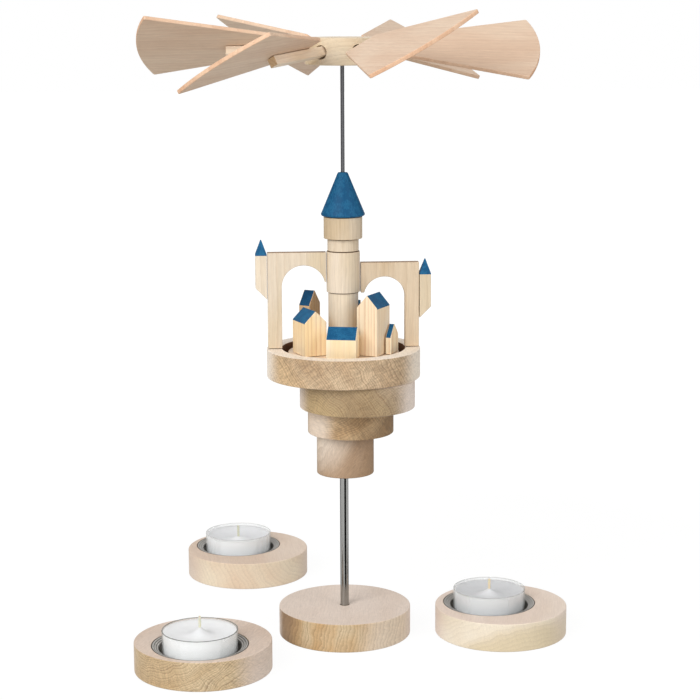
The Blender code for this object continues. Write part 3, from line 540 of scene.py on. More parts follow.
# Joins the ends of an arc through corners to an outline in the XZ plane, closes it and gives
# it thickness along Y, half on each side
def closeOutline(bm, first, corners, last, thickness):
    chain = [first, *(bm.verts.new(corner) for corner in corners), last]
    for start, end in zip(chain, chain[1:]):
        bm.edges.new((start, end))
    face = bmesh.ops.contextual_create(bm, geom=bm.edges[:])["faces"][0]
    raised = bmesh.ops.extrude_face_region(bm, geom=[face])["geom"]
    bmesh.ops.translate(bm, verts=vertsIn(raised), vec=(0, thickness, 0))
    bmesh.ops.translate(bm, verts=bm.verts, vec=(0, -thickness / 2, 0))
    bmesh.ops.recalc_face_normals(bm, faces=bm.faces)


# The log that a piece is cut from: the heading and the rise of its grain in degrees, and
# where the pith runs, sideways of and above the piece's own origin
def logFrame(heading=0, rise=0, pith=(0, 0), along=0):
    turn = Matrix.Rotation(radians(heading), 4, "Z") @ Matrix.Rotation(-radians(rise), 4, "Y")
    return turn @ Matrix.Translation((along, *pith))


# Stands a piece at a point, turned about its own upright axis
def standAt(x, y, z, turn=0):
    return Matrix.Translation((x, y, z)) @ Matrix.Rotation(radians(turn), 4, "Z")


# Makes an object of a bmesh
def addObject(name, bm):
    mesh = bpy.data.meshes.new(name)
    bm.to_mesh(mesh)
    bm.free()
    made = bpy.data.objects.new(name, mesh)
    bpy.context.scene.collection.objects.link(made)
    return made


# Makes a piece: writes the grain, moves the mesh to its place and tells the frame
def addPiece(name, bm, materials, body, nodes, place=None, log=None, sharpAngle=40):
    place = place or Matrix()
    log = log or Matrix()
    grainLayer = bm.verts.layers.float_vector.new("grain")
    axisLayer = bm.verts.layers.float_vector.new("grainAxis")
    toLog = log.inverted()
    axis = (place.to_3x3() @ log.to_3x3() @ Vector((1, 0, 0))).normalized()
    for vert in bm.verts:
        vert[grainLayer] = toLog @ vert.co
        vert[axisLayer] = axis
    bmesh.ops.transform(bm, matrix=Matrix.Scale(mm, 4) @ place, verts=bm.verts)
    piece = addObject(name, bm)
    for material in materials:
        piece.data.materials.append(material)
    piece.data.shade_smooth()
    piece.data.set_sharp_from_angle(angle=radians(sharpAngle))
    normals = piece.modifiers.new("flatFaces", "WEIGHTED_NORMAL")
    normals.keep_sharp = True
    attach(piece, body)
    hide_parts(*nodes)
    return piece


# Makes a turned wooden piece, with its log placed from the middle of its node
def addTurned(name, bm, kind, form, body, extra=(), **grain):
    wood = ownWood(kind, name, form["wood"])
    log = Matrix.Translation(nodeBox(name)[0]) @ logFrame(**form["log"], **grain)
    addPiece(name + "_turned", bm, [wood, *extra], body, [name], log=log)


# Gives a frame node a finish and leaves its shape
def finishNode(name, material):
    materials = frame["nodes"][name].data.materials
    materials.clear()
    materials.append(material)


# Cuts meshes out of a piece's bmesh with the exact Boolean
def cutAway(bm, cutters):
    blank = addObject("cutting", bm)
    tools = [addObject("cutter", cutter) for cutter in cutters]
    for tool in tools:
        boolean = blank.modifiers.new("cut", "BOOLEAN")
        boolean.object = tool
        boolean.operation = "DIFFERENCE"
        boolean.solver = "EXACT"
    depsgraph = bpy.context.evaluated_depsgraph_get()
    result = bmesh.new()
    result.from_object(blank, depsgraph)
    for spent in (blank, *tools):
        bpy.data.objects.remove(spent, do_unlink=True)
    return result


# Turned discs: base, island and castle floor. The grain's heading is in degrees from
# +X, and the pith lies (sideways, above) the disc's middle. "wood" is what this board
# has of its own.
discs = {
    "base_disc": {
        "log": {"heading": 266, "pith": (-172, 30), "along": 31},
        "wood": {"heartRadius": 150, "sapRadius": 188, "ringGap": 1.75, "gapDrift": 0.4, "ringWave": 1.5,
                 "waveSize": 8.0, "lineFirm": 1.9, "endFrom": 0.0, "endFull": 0.2, "endRings": 0.55,
                 "rayShare": 0.05, "pale": "#E7D6C8", "deep": "#E2CFBF", "endPale": "#DCC8A6",
                 "endDeep": "#C9A06B"}},
    "keel_disc": {
        "log": {"heading": 6, "rise": 62, "pith": (-4, -20), "along": 12},
        "wood": {"heartRadius": 31, "heartBlur": 11, "heartLong": 1.0, "heart": "#9A744C",
                 "pale": "#FAEEDF", "deep": "#C9AA84", "endPale": "#D4B78F", "endDeep": "#A98660",
                 "longRings": 0.1, "fibreShare": 0.14, "rayShare": 0.24, "ringGap": 2.6}},
    "small_disc": {
        "log": {"heading": 303, "pith": (-70, 90), "along": 55},
        # The dark "sap" beyond sapRadius darkens the disc's right side: partly the wood's tone, partly
        # painted shade
        "wood": {"pale": "#E8D7C4", "deep": "#DDC7B1", "endPale": "#D2B58D", "endDeep": "#B39269",
                 "sap": "#8B6D4A", "sapRadius": 115, "rayShare": 0.2, "endFrom": 0.03, "endFull": 0.4}},
    "large_disc": {
        "log": {"heading": 262, "pith": (-30, -26), "along": 17},
        "wood": {"pale": "#EFE0D4", "deep": "#E7D4C4", "endPale": "#B39B76", "endDeep": "#957B58",
                 "heart": "#C2A87C", "heartRadius": 31, "sap": "#C2AD94", "sapRadius": 57}},
    "island_plate": {
        "log": {"heading": 266, "pith": (-100, -60), "along": 73},
        "wood": {"pale": "#FBF0E4", "deep": "#F6E8D6", "endPale": "#D3BA99", "endDeep": "#B99B78",
                 "heart": "#DBBC92", "heartRadius": 97, "heartBlur": 6, "endFull": 0.43}},
    "castle_floor": {
        "log": {"heading": 20, "pith": (20, 120), "along": 40},
        "wood": {"pale": "#EFDCC6", "deep": "#E6CDB0"}},
}
discDetail = {"edgeRound": 0.5, "rim": 8.0, "boreRoom": 0.6, "baseHole": 2.5}
hair = 0.01  # within this, two places count as one

# The recess in the plate, wall and floor, takes a dark brown beech: painted shade in the recess
recessShadeLook = {**woodLooks["turnedBeech"], "pale": "#8A6242", "deep": "#6E4A30", "endPale": "#7A5436",
              "endDeep": "#5E3E28", "line": "#4A2F1D", "roughness": 0.7}


def makeDiscs():
    middle, low, high, radius = nodeBox("base_disc")
    hole = low.z + discDetail["baseHole"]
    rings = [(radius, low.z), (radius, high.z), (tubeBore, high.z), (tubeBore, hole)]
    addDisc("base_disc", stackRings(rings), body="stand")

    bore = tubeBore + discDetail["boreRoom"]
    for name in ("keel_disc", "small_disc", "large_disc"):
        middle, low, high, radius = nodeBox(name)
        rings = [(middle.x, middle.y, radius, low.z), (middle.x, middle.y, radius, high.z),
                 (bore, high.z), (bore, low.z)]
        addDisc(name, stackRings(rings, bored=True))

    middle, low, high, radius = nodeBox("island_plate")
    inner = radius - discDetail["rim"]
    bottom = nodeBox("castle_floor")[1].z - fits["seatGap"]
    rings = [(radius, low.z), (radius, high.z), (inner, high.z), (inner, bottom),
             (spindleBore, bottom), (spindleBore, low.z)]
    bm = stackRings(rings, bored=True)
    bm.normal_update()
    for face in bm.faces:
        spot = face.calc_center_median()
        # The recess's wall and floor take the dark brown beech: painted shade
        cut = spot.xy.length < inner + hair and bottom - hair < spot.z < high.z - hair
        face.material_index = 1 if cut else 0
    addDisc("island_plate", bm, extra=[buildWood("recessShadedBeech", recessShadeLook)])

    middle, low, high, radius = nodeBox("castle_floor")
    addDisc("castle_floor", stackRings(drumRings(low, high, radius, spindleBore), bored=True))


def addDisc(name, bm, body="carousel", extra=()):
    softenEdges(bm, discDetail["edgeRound"])
    addTurned(name, bm, "turnedBeech", discs[name], body, extra)


makeDiscs()
print("discs turned")


# Tube and spindle
steelDetail = {"tubeWall": 0.6, "tubeEdge": 0.15, "spindleEdge": 0.12, "needle": 3.0, "point": 0.05}


def makeSteelwork():
    middle, low, high, radius = nodeBox("support_tube")
    rings = drumRings(low, high, radius, radius - steelDetail["tubeWall"])
    bm = stackRings(rings, segments=64, bored=True)
    softenEdges(bm, steelDetail["tubeEdge"])
    addPiece("tube_drawn", bm, [metals["drawnStainless"]], "stand", ["support_tube"])

    middle, low, high, radius = nodeBox("spindle")
    rings = [(steelDetail["point"], low.z), (radius, low.z + steelDetail["needle"]), (radius, high.z)]
    bm = stackRings(rings, segments=48)
    softenEdges(bm, steelDetail["spindleEdge"])
    addPiece("spindle_ground", bm, [metals["groundSteel"]], "carousel", ["spindle"])

    finishNode("needle_seat", metals["groundSteel"])
    finishNode("guide_bush", metals["turnedBrass"])


makeSteelwork()
print("steelwork made")


# Tower: four drums and the painted roof, all turned
tower = {
    "tower_shaft": {
        "log": {"pith": (9, 46), "along": 20}, "wood": {"pale": "#EFDEC7", "deep": "#E6D2B4"}},
    "tower_collar": {
        "log": {"pith": (-30, 40), "along": 90}, "wood": {"pale": "#E9D8C2", "deep": "#DFCCB0"}},
    "tower_neck": {
        "log": {"pith": (25, -30), "along": 140}, "wood": {"pale": "#E2D0B7", "deep": "#D8C3A3"}},
    "tower_crown": {
        "log": {"pith": (-12, -38), "along": 200}, "wood": {"pale": "#DAC8AF", "deep": "#CFB897"}},
}
drumEdge = 0.3
roofShape = {"lipRound": 0.9, "topRadius": 2.5, "lip": 0.8}


def makeTower():
    for name, form in tower.items():
        middle, low, high, radius = nodeBox(name)
        bm = stackRings(drumRings(low, high, radius, spindleBore), segments=96, bored=True)
        softenEdges(bm, drumEdge)
        addTurned(name, bm, "planedMaple", form, "carousel", rise=90)

    middle, low, high, radius = nodeBox("tower_roof")
    lip = roofShape["lip"]
    rings = [(spindleBore, low.z), (radius - lip, low.z), (radius, low.z + lip),
             (roofShape["topRadius"], high.z), (spindleBore, high.z)]
    bm = stackRings(rings, segments=96, bored=True)
    softenEdges(bm, roofShape["lipRound"], angle=25, segments=4)
    log = Matrix.Translation(middle) @ logFrame(rise=90)
    addPiece("tower_roof_painted", bm, [paints["mattBluePaint"]], "carousel",
             ["tower_roof"], log=log)


makeTower()
print("tower turned")


# Arch boards with the corner turret glued to each. Distances run outwards from the
# tower's axis, heights up from the board's foot.
arches = {
    "left": {"azimuth": 184.0, "crown": 6.75, "heel": 0.44, "pith": (60, 20), "along": 30,
             "wood": {}, "stickWood": {"pale": "#F1E3D1", "deep": "#E9D9C2"}},
    "right": {"azimuth": 4.0, "crown": 7.4, "heel": 1.5, "pith": (-70, 24), "along": 120,
              "wood": {"pale": "#DCC7AB", "deep": "#CCB18E"}, "stickWood": {}},
}
archBoard = {"thickness": 5.0, "legInner": 32.0, "legOuter": 39.3, "inner": 8.96, "heelRise": 2.5,
             "edgeRound": 0.3, "arcSteps": 48}
turret = {"side": 5.9, "tip": 8.2, "edgeRound": 0.3, "paintDown": 0.5, "furtherUp": 60}


def makeArches():
    for side, form in arches.items():
        middle, low, high, radius = nodeBox("arch_" + side)
        top = high.z - low.z
        opening = (archBoard["legInner"] - archBoard["inner"] - form["heel"]) / 2
        centre = archBoard["inner"] + form["heel"] + opening
        spring = top - form["crown"] - opening
        heelAngle = pi - asin(archBoard["heelRise"] / opening)
        bm = bmesh.new()
        first, last = sweepArc(
            bm, (centre + opening, 0, spring), (centre, 0, spring), -heelAngle, archBoard["arcSteps"])
        corners = [(archBoard["legInner"], 0, 0), (archBoard["legOuter"], 0, 0),
                   (archBoard["legOuter"], 0, top), (archBoard["inner"], 0, top),
                   (archBoard["inner"], 0, spring + archBoard["heelRise"])]
        closeOutline(bm, first, corners, last, archBoard["thickness"])
        softenEdges(bm, archBoard["edgeRound"])
        place = standAt(0, 0, low.z, form["azimuth"])
        log = logFrame(rise=90, pith=form["pith"], along=form["along"])
        wood = ownWood("planedMaple", "arch_" + side, form["wood"])
        addPiece("arch_%s_board" % side, bm, [wood], "carousel", ["arch_" + side],
                 place=place, log=log)


def makeTurrets():
    for side, form in arches.items():
        middle, low, high, radius = nodeBox("turret_" + side)
        width = turret["side"]
        length = high.z - low.z - turret["tip"]
        painted = length - turret["paintDown"]
        bm = sawBlock((-width / 2, -width / 2, 0), (width / 2, width / 2, length))
        heel = [vert for vert in bm.verts if vert.co.x > 0 and vert.co.z < length / 2]
        bmesh.ops.translate(bm, verts=heel, vec=(0, 0, width))
        scoreRound(bm, (0, 0, painted), (0, 0, 1))
        cap = max(bm.faces, key=lambda face: face.calc_center_median().z)
        bmesh.ops.poke(bm, faces=[cap], offset=turret["tip"])
        for face in bm.faces:
            face.material_index = 1 if face.calc_center_median().z > painted else 0
        softenEdges(bm, turret["edgeRound"], angle=20)
        place = standAt(middle.x, middle.y, low.z, form["azimuth"])
        log = logFrame(rise=90, pith=form["pith"], along=form["along"] + turret["furtherUp"])
        wood = ownWood("planedMaple", "turret_" + side, form["stickWood"])
        addPiece("turret_%s_stick" % side, bm, [wood, paints["mattBluePaint"]], "carousel",
                 ["turret_" + side], place=place, log=log)


makeArches()
makeTurrets()
print("arches and turrets sawn")


# Houses: sawn blocks with a painted saddle roof. The brush ran over the eaves, so the
# paint comes down the side walls a little way.
houses = {
    "house_front": {
        "length": 15.5, "width": 12.0, "wall": 10.5, "turn": -9.0, "pith": (62, 60), "along": 10,
        "wood": {"longRings": 0.12}},
    "house_front_left": {
        "length": 16.7, "width": 12.0, "wall": 17.4, "turn": -66.2, "pith": (-40, 60), "along": 70,
        "wood": {"pale": "#FBE6C2", "deep": "#F5D8A6", "line": "#C07A38", "lineFirm": 4.5,
                 "longRings": 0.75, "ringGap": 1.25}},
    "house_back_left": {
        "length": 6.3, "width": 11.6, "wall": 23.5, "turn": -27.7, "pith": (44, -50), "along": 130,
        # Its wood and paint are darker than the other houses': painted shade from the tower
        "wood": {"pale": "#DAC19F", "deep": "#CDAF87"}, "paint": "shadedBluePaint"},
    "house_back": {
        "length": 16.4, "width": 12.0, "wall": 18.0, "turn": 2.0, "pith": (-66, -30), "along": 190},
    "house_right": {
        "length": 16.4, "width": 11.4, "wall": 24.9, "turn": 65.3, "pith": (40, 52), "along": 250,
        "wood": {"pale": "#F9E9CF", "deep": "#F5DEBC", "line": "#C07A38", "lineFirm": 4.5,
                 "ringGap": 1.4, "longRings": 0.7}},
    "house_far_right": {
        "length": 3.0, "width": 12.0, "wall": 9.1, "turn": -20.0, "pith": (22, 60), "along": 310},
}
houseDetail = {"edgeRound": 0.25, "ridgeHalf": 0.6, "paintDown": 0.45, "level": 0.02, "upright": 0.3}


def makeHouses():
    for name, form in houses.items():
        middle, low, high, radius = nodeBox(name)
        length, width, wall = form["length"], form["width"], form["wall"]
        roof = high.z - low.z - wall
        bm = sawBlock((-length / 2, -width / 2, 0), (length / 2, width / 2, wall))
        ridge = [vert for vert in vertsIn(scoreRound(bm, (0, 0, 0), (0, 1, 0))) if vert.co.z > wall / 2]
        bmesh.ops.translate(bm, verts=ridge, vec=(0, 0, roof))
        bm.normal_update()
        roofUp = Vector((0, roof, width / 2)).normalized().z
        painted = wall - houseDetail["paintDown"]
        scoreRound(bm, (0, 0, painted), (0, 0, 1))
        softenEdges(bm, houseDetail["edgeRound"], angle=20)
        bm.normal_update()
        for face in bm.faces:
            spot = face.calc_center_median()
            gable = abs(face.normal.x) >= houseDetail["level"]
            pitched = abs(face.normal.z - roofUp) < houseDetail["level"] and not gable
            crest = face.normal.z > roofUp and abs(spot.y) < houseDetail["ridgeHalf"]
            eaves = spot.z > painted and abs(face.normal.y) > houseDetail["upright"] and not gable
            face.material_index = 1 if pitched or crest or eaves else 0
        place = standAt(middle.x, middle.y, low.z, form["turn"])
        log = logFrame(rise=90, pith=form["pith"], along=form["along"])
        wood = ownWood("sawnPine", name, form.get("wood", {}))
        paint = paints[form.get("paint", "mattBluePaint")]
        addPiece(name + "_block", bm, [wood, paint], "carousel", [name], place=place, log=log)


makeHouses()
print("houses built")


# Propeller. The frame gives each stick's pivot and direction, and the pitch is how the
# stick was twisted in its socket when the photograph was taken.
blades = {
    "left": {"pitch": 27.0, "reach": 0.027, "side": 0.012, "pith": (-60, 14), "along": 0},
    "front_left": {"pitch": 26.1, "reach": 0.005, "side": 0.012, "pith": (50, -20), "along": 110},
    "front_right": {"pitch": 27.2, "reach": -0.018, "side": -0.011, "pith": (-80, 30), "along": 220},
    "right": {"pitch": 24.5, "reach": -0.029, "side": -0.014, "pith": (64, 18), "along": 330},
    "back_right": {"pitch": 28.2, "reach": 0.013, "side": -0.01, "pith": (90, -30), "along": 440},
    "back_left": {"pitch": 30.4, "reach": 0.004, "side": -0.007, "pith": (-44, -16), "along": 550},
}
bladeShape = {
    "thickness": 2.0, "near": 13.1, "corner": 80.8, "crown": 6.2, "nearHalf": 9.3, "cornerHalf": 32.35,
    "lift": 2.65, "cornerRound": 1.0, "edgeRound": 0.35, "arcSteps": 40}
stickShape = {"side": 4.7, "inner": -6.68, "outer": 44.0, "edgeRound": 0.3, "pith": (18, 11)}
hubShape = {"socketRadius": 3.59, "socketFloor": 8.02, "socketPast": 4.0, "edgeRound": 0.5}
hub = {"log": {"heading": 8, "pith": (30, 90), "along": 20},
       "wood": {"pale": "#E9D8C0", "deep": "#E0CDB0", "endPale": "#DAC5A4", "endDeep": "#CBB18B"}}
joints = {joint["name"]: joint for joint in frame["joints"]}


# The stick's own frame: X out along it, Y across the blade, Z out of its top
def stickFrame(side):
    joint = joints["blade_%s_pitch" % side]
    along = Vector(joint["axis"])
    heading = atan2(along.y, along.x)
    droop = -asin(along.z)
    turn = Matrix.Rotation(heading, 4, "Z") @ Matrix.Rotation(droop, 4, "Y")
    turn = turn @ Matrix.Rotation(radians(blades[side]["pitch"]), 4, "X")
    return Matrix.Translation(Vector(joint["pos_m"]) / mm) @ turn


def makeBlade(side):
    form = blades[side]
    near, corner, crown = bladeShape["near"], bladeShape["corner"], bladeShape["crown"]
    half, nearHalf = bladeShape["cornerHalf"], bladeShape["nearHalf"]
    thickness = bladeShape["thickness"]
    radius = (half ** 2 + crown ** 2) / (2 * crown)
    centre = corner + crown - radius
    # The outline lies in the XZ plane while it is drawn and is laid down afterwards
    bm = bmesh.new()
    first, last = sweepArc(
        bm, (corner, 0, -half), (centre, 0, 0), -2 * asin(half / radius), bladeShape["arcSteps"])
    closeOutline(bm, first, [(near, 0, -nearHalf), (near, 0, nearHalf)], last, thickness)
    posts = [edge for edge in sharpEdges(bm)
             if abs(edge.verts[0].co.y - edge.verts[1].co.y) > thickness / 2]
    roundEdges(bm, posts, bladeShape["cornerRound"], segments=5)
    softenEdges(bm, bladeShape["edgeRound"], angle=45)
    bmesh.ops.rotate(bm, verts=bm.verts, cent=(0, 0, 0), matrix=Matrix.Rotation(pi / 2, 3, "X"))
    length = corner + crown - near
    shift = (form["reach"] * length, form["side"] * 2 * half, bladeShape["lift"] + thickness / 2)
    bmesh.ops.translate(bm, verts=bm.verts, vec=shift)
    log = logFrame(pith=form["pith"], along=form["along"])
    addPiece("blade_%s_plate" % side, bm, [woods["slicedLime"]], "blade_" + side,
             ["blade_" + side], place=stickFrame(side), log=log)


def makeStick(side):
    inner, outer, half = stickShape["inner"], stickShape["outer"], stickShape["side"] / 2
    bm = sawBlock((inner, -half, -half), (outer, half, half))
    softenEdges(bm, stickShape["edgeRound"])
    log = logFrame(pith=stickShape["pith"], along=blades[side]["along"])
    addPiece("blade_stick_%s_sawn" % side, bm, [woods["sawnStick"]], "blade_" + side,
             ["blade_stick_" + side], place=stickFrame(side), log=log)


def makeHub():
    middle, low, high, radius = nodeBox("propeller_hub")
    depth = nodeBox("spindle")[2].z + fits["seatGap"]
    rings = [(spindleBore, depth), (spindleBore, low.z), (radius, low.z), (radius, high.z)]
    bm = stackRings(rings)
    softenEdges(bm, hubShape["edgeRound"])
    start = hubShape["socketFloor"]
    length = radius + hubShape["socketPast"] - start
    cutters = []
    for side in blades:
        reach = start - Vector(joints["blade_%s_pitch" % side]["pos_m"]).xy.length / mm
        outwards = stickFrame(side) @ Matrix.Translation((reach + length / 2, 0, 0))
        cutter = bmesh.new()
        bmesh.ops.create_cone(
            cutter, cap_ends=True, segments=48, radius1=hubShape["socketRadius"],
            radius2=hubShape["socketRadius"], depth=length,
            matrix=outwards @ Matrix.Rotation(pi / 2, 4, "Y"))
        cutters.append(cutter)
    addTurned("propeller_hub", cutAway(bm, cutters), "planedMaple", hub, "carousel")


for side in blades:
    makeBlade(side)
    makeStick(side)
makeHub()
print("propeller built")


# Holders: a turned disc with a stepped pocket off its middle, and the spun dish in it
holders = {
    "front_left": {
        "log": {"heading": 250, "pith": (-14, 36), "along": 64},
        "wood": {"ringGap": 1.2, "ringWave": 1.8, "endPale": "#D6C19E", "endDeep": "#BFA075"}},
    "right": {
        "log": {"heading": 262, "pith": (24, -64), "along": 150},
        "wood": {"pale": "#EDDCCE", "deep": "#E6D2C2", "endPale": "#F4E9D6", "endDeep": "#ECDCC4",
                 "heart": "#DDCCAC", "heartRadius": 69, "heartBlur": 5, "heartLong": 0.7,
                 "ringGap": 2.4, "endRings": 0.14, "rayShare": 0.03, "fibreShare": 0.08}},
    "back_left": {
        "log": {"heading": 278, "pith": (44, 26), "along": 240},
        "wood": {"pale": "#E5D2C0", "deep": "#DCC4AF", "endPale": "#F0E1C8", "endDeep": "#E4CBB0",
                 "ringGap": 2.2, "endRings": 0.16, "rayShare": 0.03, "fibreShare": 0.08}},
}
dishShape = {
    "sheet": 0.5, "wellRadius": 20.3, "draft": 0.4, "lipDrop": 1.4, "lipRound": 0.6, "floorHeight": 4.8,
    "eye": 0.01}
holderDetail = {
    "edgeRound": 0.55, "pocketEdge": 0.2, "ledge": 12.8, "well": 21.5, "floor": 4.0, "clearance": 0.25,
    "rimWidth": 0.1}


def makeHolder(side):
    name = "holder_" + side
    middle, low, high, radius = nodeBox(name)
    dishMiddle, dishLow, dishHigh, dishRadius = nodeBox("dish_" + side)
    pocket = dishRadius + holderDetail["clearance"]
    ledge, well = holderDetail["ledge"], holderDetail["well"]
    x, y = middle.x, middle.y
    u, v = dishMiddle.x, dishMiddle.y
    rings = [(x, y, radius, low.z), (x, y, radius, high.z), (u, v, pocket, high.z),
             (u, v, pocket, ledge), (u, v, well, ledge), (u, v, well, holderDetail["floor"])]
    bm = stackRings(rings)
    rim = [edge for edge in sharpEdges(bm)
           if (Vector((x, y)) - edge.verts[0].co.xy).length > radius - holderDetail["rimWidth"]]
    roundEdges(bm, rim, holderDetail["edgeRound"], segments=4)
    softenEdges(bm, holderDetail["pocketEdge"], angle=50, segments=2)
    addTurned(name, bm, "turnedBeech", holders[side], name)


def makeDish(side):
    middle, low, high, rim = nodeBox("dish_" + side)
    sheet, well, eye = dishShape["sheet"], dishShape["wellRadius"], dishShape["eye"]
    mouthRadius = well + dishShape["draft"]
    mouth = high.z - dishShape["lipDrop"]
    floor = dishShape["floorHeight"]
    inside = [(eye, floor), (well, floor), (mouthRadius, mouth), (rim, high.z)]
    outside = [(rim, high.z - sheet), (mouthRadius + sheet, mouth - sheet),
               (well + sheet, floor - sheet), (eye, floor - sheet)]
    bm = stackRings(inside + outside)
    softenEdges(bm, dishShape["lipRound"], angle=35, segments=4)
    place = standAt(middle.x, middle.y, 0)
    addPiece("dish_%s_spun" % side, bm, [spunSteel], "holder_" + side,
             ["dish_" + side], place=place)


# Tealights. No two were poured alike: the wax stands "drop" below the rim, climbs by
# "brim" at the wall and by "rise" round the wick.
cupShape = {"wall": 0.7, "draft": 0.4, "footRound": 1.1, "rimRound": 0.25}
waxShape = {"coneRadius": 7.4, "conePower": 1.45, "coreShare": 0.6, "hollow": 0.5, "air": 0.04,
            "brimSteps": (0.0, 0.03, 0.08, 0.15, 0.24, 0.35, 0.5),
            "coneSteps": (1.0, 0.75, 0.55, 0.4, 0.28, 0.18, 0.11)}
# "rim" tints the top of each cup's rim darker and less clear: a painted dark line for the refraction and
# reflection at the rounded rim
fills = {
    "front_left": {
        "drop": 3.0, "brim": 2.3, "rise": 4.2, "wickTop": 30.0,
        "wax": {"pale": "#F0F1F2", "deep": "#E3E4E5", "cone": "#E2E3E4"},
        "cup": {"tint": "#EEF0EF", "squareOn": 0.25, "edgeOn": 0.65},
        "rim": {"tint": "#565B54", "squareOn": 0.85, "edgeOn": 0.85},
        "wick": {"pale": "#EDEBDA", "deep": "#CFCDB2"}},
    "right": {
        "drop": 3.9, "brim": 2.6, "rise": 3.5, "wickTop": 27.6,
        # This wax is greyer than in the other two cups: painted shade
        "wax": {"pale": "#D4D5D7", "deep": "#C5C6C8", "cone": "#DEDFE1"},
        "cup": {"tint": "#E9EBEB", "squareOn": 0.4, "edgeOn": 0.65},
        "rim": {"tint": "#A9ADA9", "squareOn": 0.5, "edgeOn": 0.5},
        "wick": {"pale": "#F2E6CC", "deep": "#DECDA8"}},
    "back_left": {
        "drop": 4.8, "brim": 3.4, "rise": 2.0, "wickTop": 26.5,
        "wax": {"pale": "#E6E7E9", "deep": "#D9DADC", "cone": "#ECEDEF"},
        "cup": {"tint": "#EEF0F0", "squareOn": 0.38, "edgeOn": 0.65},
        "rim": {"tint": "#B4B8B4", "squareOn": 0.45, "edgeOn": 0.45},
        "wick": {"pale": "#E6E4D2", "deep": "#CBC9AE"}},
}
wickShape = {"strands": 3, "sides": 10, "strandRadius": 0.42, "offset": 0.33, "turns": 5.0, "steps": 120}


def makeTealight(side):
    body = "tealight_" + side
    fill = fills[side]
    middle, low, high, radius = nodeBox("tealight_cup_" + side)
    foot = radius - cupShape["draft"]
    wall = cupShape["wall"]
    place = standAt(middle.x, middle.y, low.z)
    height = high.z - low.z
    rings = [(foot, 0), (radius, height), (radius - wall, height), (foot - wall, wall)]
    bm = stackRings(rings)
    corner = [edge for edge in bm.edges if max(vert.co.z for vert in edge.verts) < hair]
    roundEdges(bm, corner, cupShape["footRound"], segments=6)
    softenEdges(bm, cupShape["rimRound"], angle=45)
    # Faces at the top of the rim take the second tint: the painted dark rim line
    for face in bm.faces:
        face.material_index = 1 if face.calc_center_median().z > height - cupShape["rimRound"] else 0
    clear = buildClearCup("clearPolycarbonate_" + side, **fill["cup"])
    rim = buildClearCup("cupRimPaintedDarkLine_" + side, **fill["rim"])
    cup = addPiece("tealight_cup_%s_clear" % side, bm, [clear, rim], body,
                   ["tealight_cup_" + side], place=place)
    cup.visible_shadow = False

    level = height - fill["drop"]
    wickMiddle, wickLow, wickHigh, wick = nodeBox("wick_" + side)
    air = waxShape["air"]
    bottom = foot - wall - air
    mouth = bottom + cupShape["draft"] * (level / height)
    core = wick * waxShape["coreShare"]
    rings = [(core, wall + air), (bottom, wall + air)]
    for share in waxShape["brimSteps"]:
        rise = fill["brim"] * (1 - share / waxShape["hollow"]) ** 2
        rings.append((mouth * (1 - share), level + rise))
    for share in waxShape["coneSteps"]:
        rise = fill["rise"] * (1 - share) ** waxShape["conePower"]
        rings.append((core + share * (waxShape["coneRadius"] - core), level + rise))
    rings.append((core, level + fill["rise"]))
    bm = stackRings(rings, segments=96)
    paraffin = buildWax("pouredParaffin_" + side, coneRadius=waxShape["coneRadius"], **fill["wax"])
    addPiece("wax_%s_poured" % side, bm, [paraffin], body, ["wax_" + side], place=place,
             sharpAngle=60)

    bm = bmesh.new()
    tall = min(fill["wickTop"], wickHigh.z) - wickLow.z
    for k in range(wickShape["strands"]):
        angle = 2 * pi * k / wickShape["strands"]
        out = Vector((cos(angle), sin(angle), 0)) * wickShape["offset"]
        disc = bmesh.ops.create_circle(
            bm, cap_ends=True, segments=wickShape["sides"], radius=wickShape["strandRadius"],
            matrix=Matrix.Translation(out))
        faces = list({face for vert in disc["verts"] for face in vert.link_faces})
        bmesh.ops.spin(
            bm, geom=faces, cent=(0, 0, 0), axis=(0, 0, 1), dvec=(0, 0, tall / wickShape["steps"]),
            angle=2 * pi * wickShape["turns"], steps=wickShape["steps"], use_merge=False)
    bmesh.ops.recalc_face_normals(bm, faces=bm.faces)
    place = standAt(middle.x, middle.y, wickLow.z)
    cotton = buildWick("waxedCotton_" + side, **fill["wick"])
    addPiece("wick_%s_twisted" % side, bm, [cotton], body, ["wick_" + side],
             place=place)
    finishNode("wick_foot_" + side, metals["tinplate"])


for side in holders:
    makeHolder(side)
    makeDish(side)
    makeTealight(side)
print("holders and tealights made")


# Floor, light and camera, in metres. The camera's place was fitted to the discs' ellipses in
# the photograph.
camera = {"lens": 97.714, "sensor": 36.0, "place": (0, -0.97564, 0.3339), "pitch": 10.486,
          "yaw": 0.198, "roll": -0.231}
worldLevel = 0.54
floorLook = {"side": 12.0, "below": 0.0002, "paper": "#C6C6C4", "white": 1.09, "near": 0.86,
             "fadeFrom": 0.3, "fadeTo": 0.8}
flags = {
    "front": {"azimuth": 27.0, "distance": 0.045, "size": (0.043, 0.118), "tone": "#050505"},
    "tube_left": {"azimuth": -132.0, "distance": 0.045, "size": (0.056, 0.118), "tone": "#969696"},
    "tube_right": {"azimuth": 142.0, "distance": 0.045, "size": (0.04, 0.118), "tone": "#B4B4B4"},
    "left": {"azimuth": -112.0, "distance": 0.45, "size": (0.7, 0.5), "tone": "#303030"},
    "right": {"azimuth": 112.0, "distance": 0.45, "size": (0.7, 0.5), "tone": "#303030"},
}
softboxes = {
    "key": {"place": (-0.9, -1.32, 1.1), "size": 1.2, "power": 23.5},
    "fill": {"place": (1.2, -1.0, 0.8), "size": 1.0, "power": 6.5},
}
lampAim = (0, 0, 0.15)


def makeSheet(name, size, place, turn=None):
    bm = bmesh.new()
    bmesh.ops.create_grid(bm, x_segments=1, y_segments=1, size=0.5)
    bmesh.ops.scale(bm, vec=(*size, 1), verts=bm.verts)
    bmesh.ops.transform(bm, matrix=Matrix.Translation(place) @ (turn or Matrix()), verts=bm.verts)
    sheet = addObject(name, bm)
    return sheet


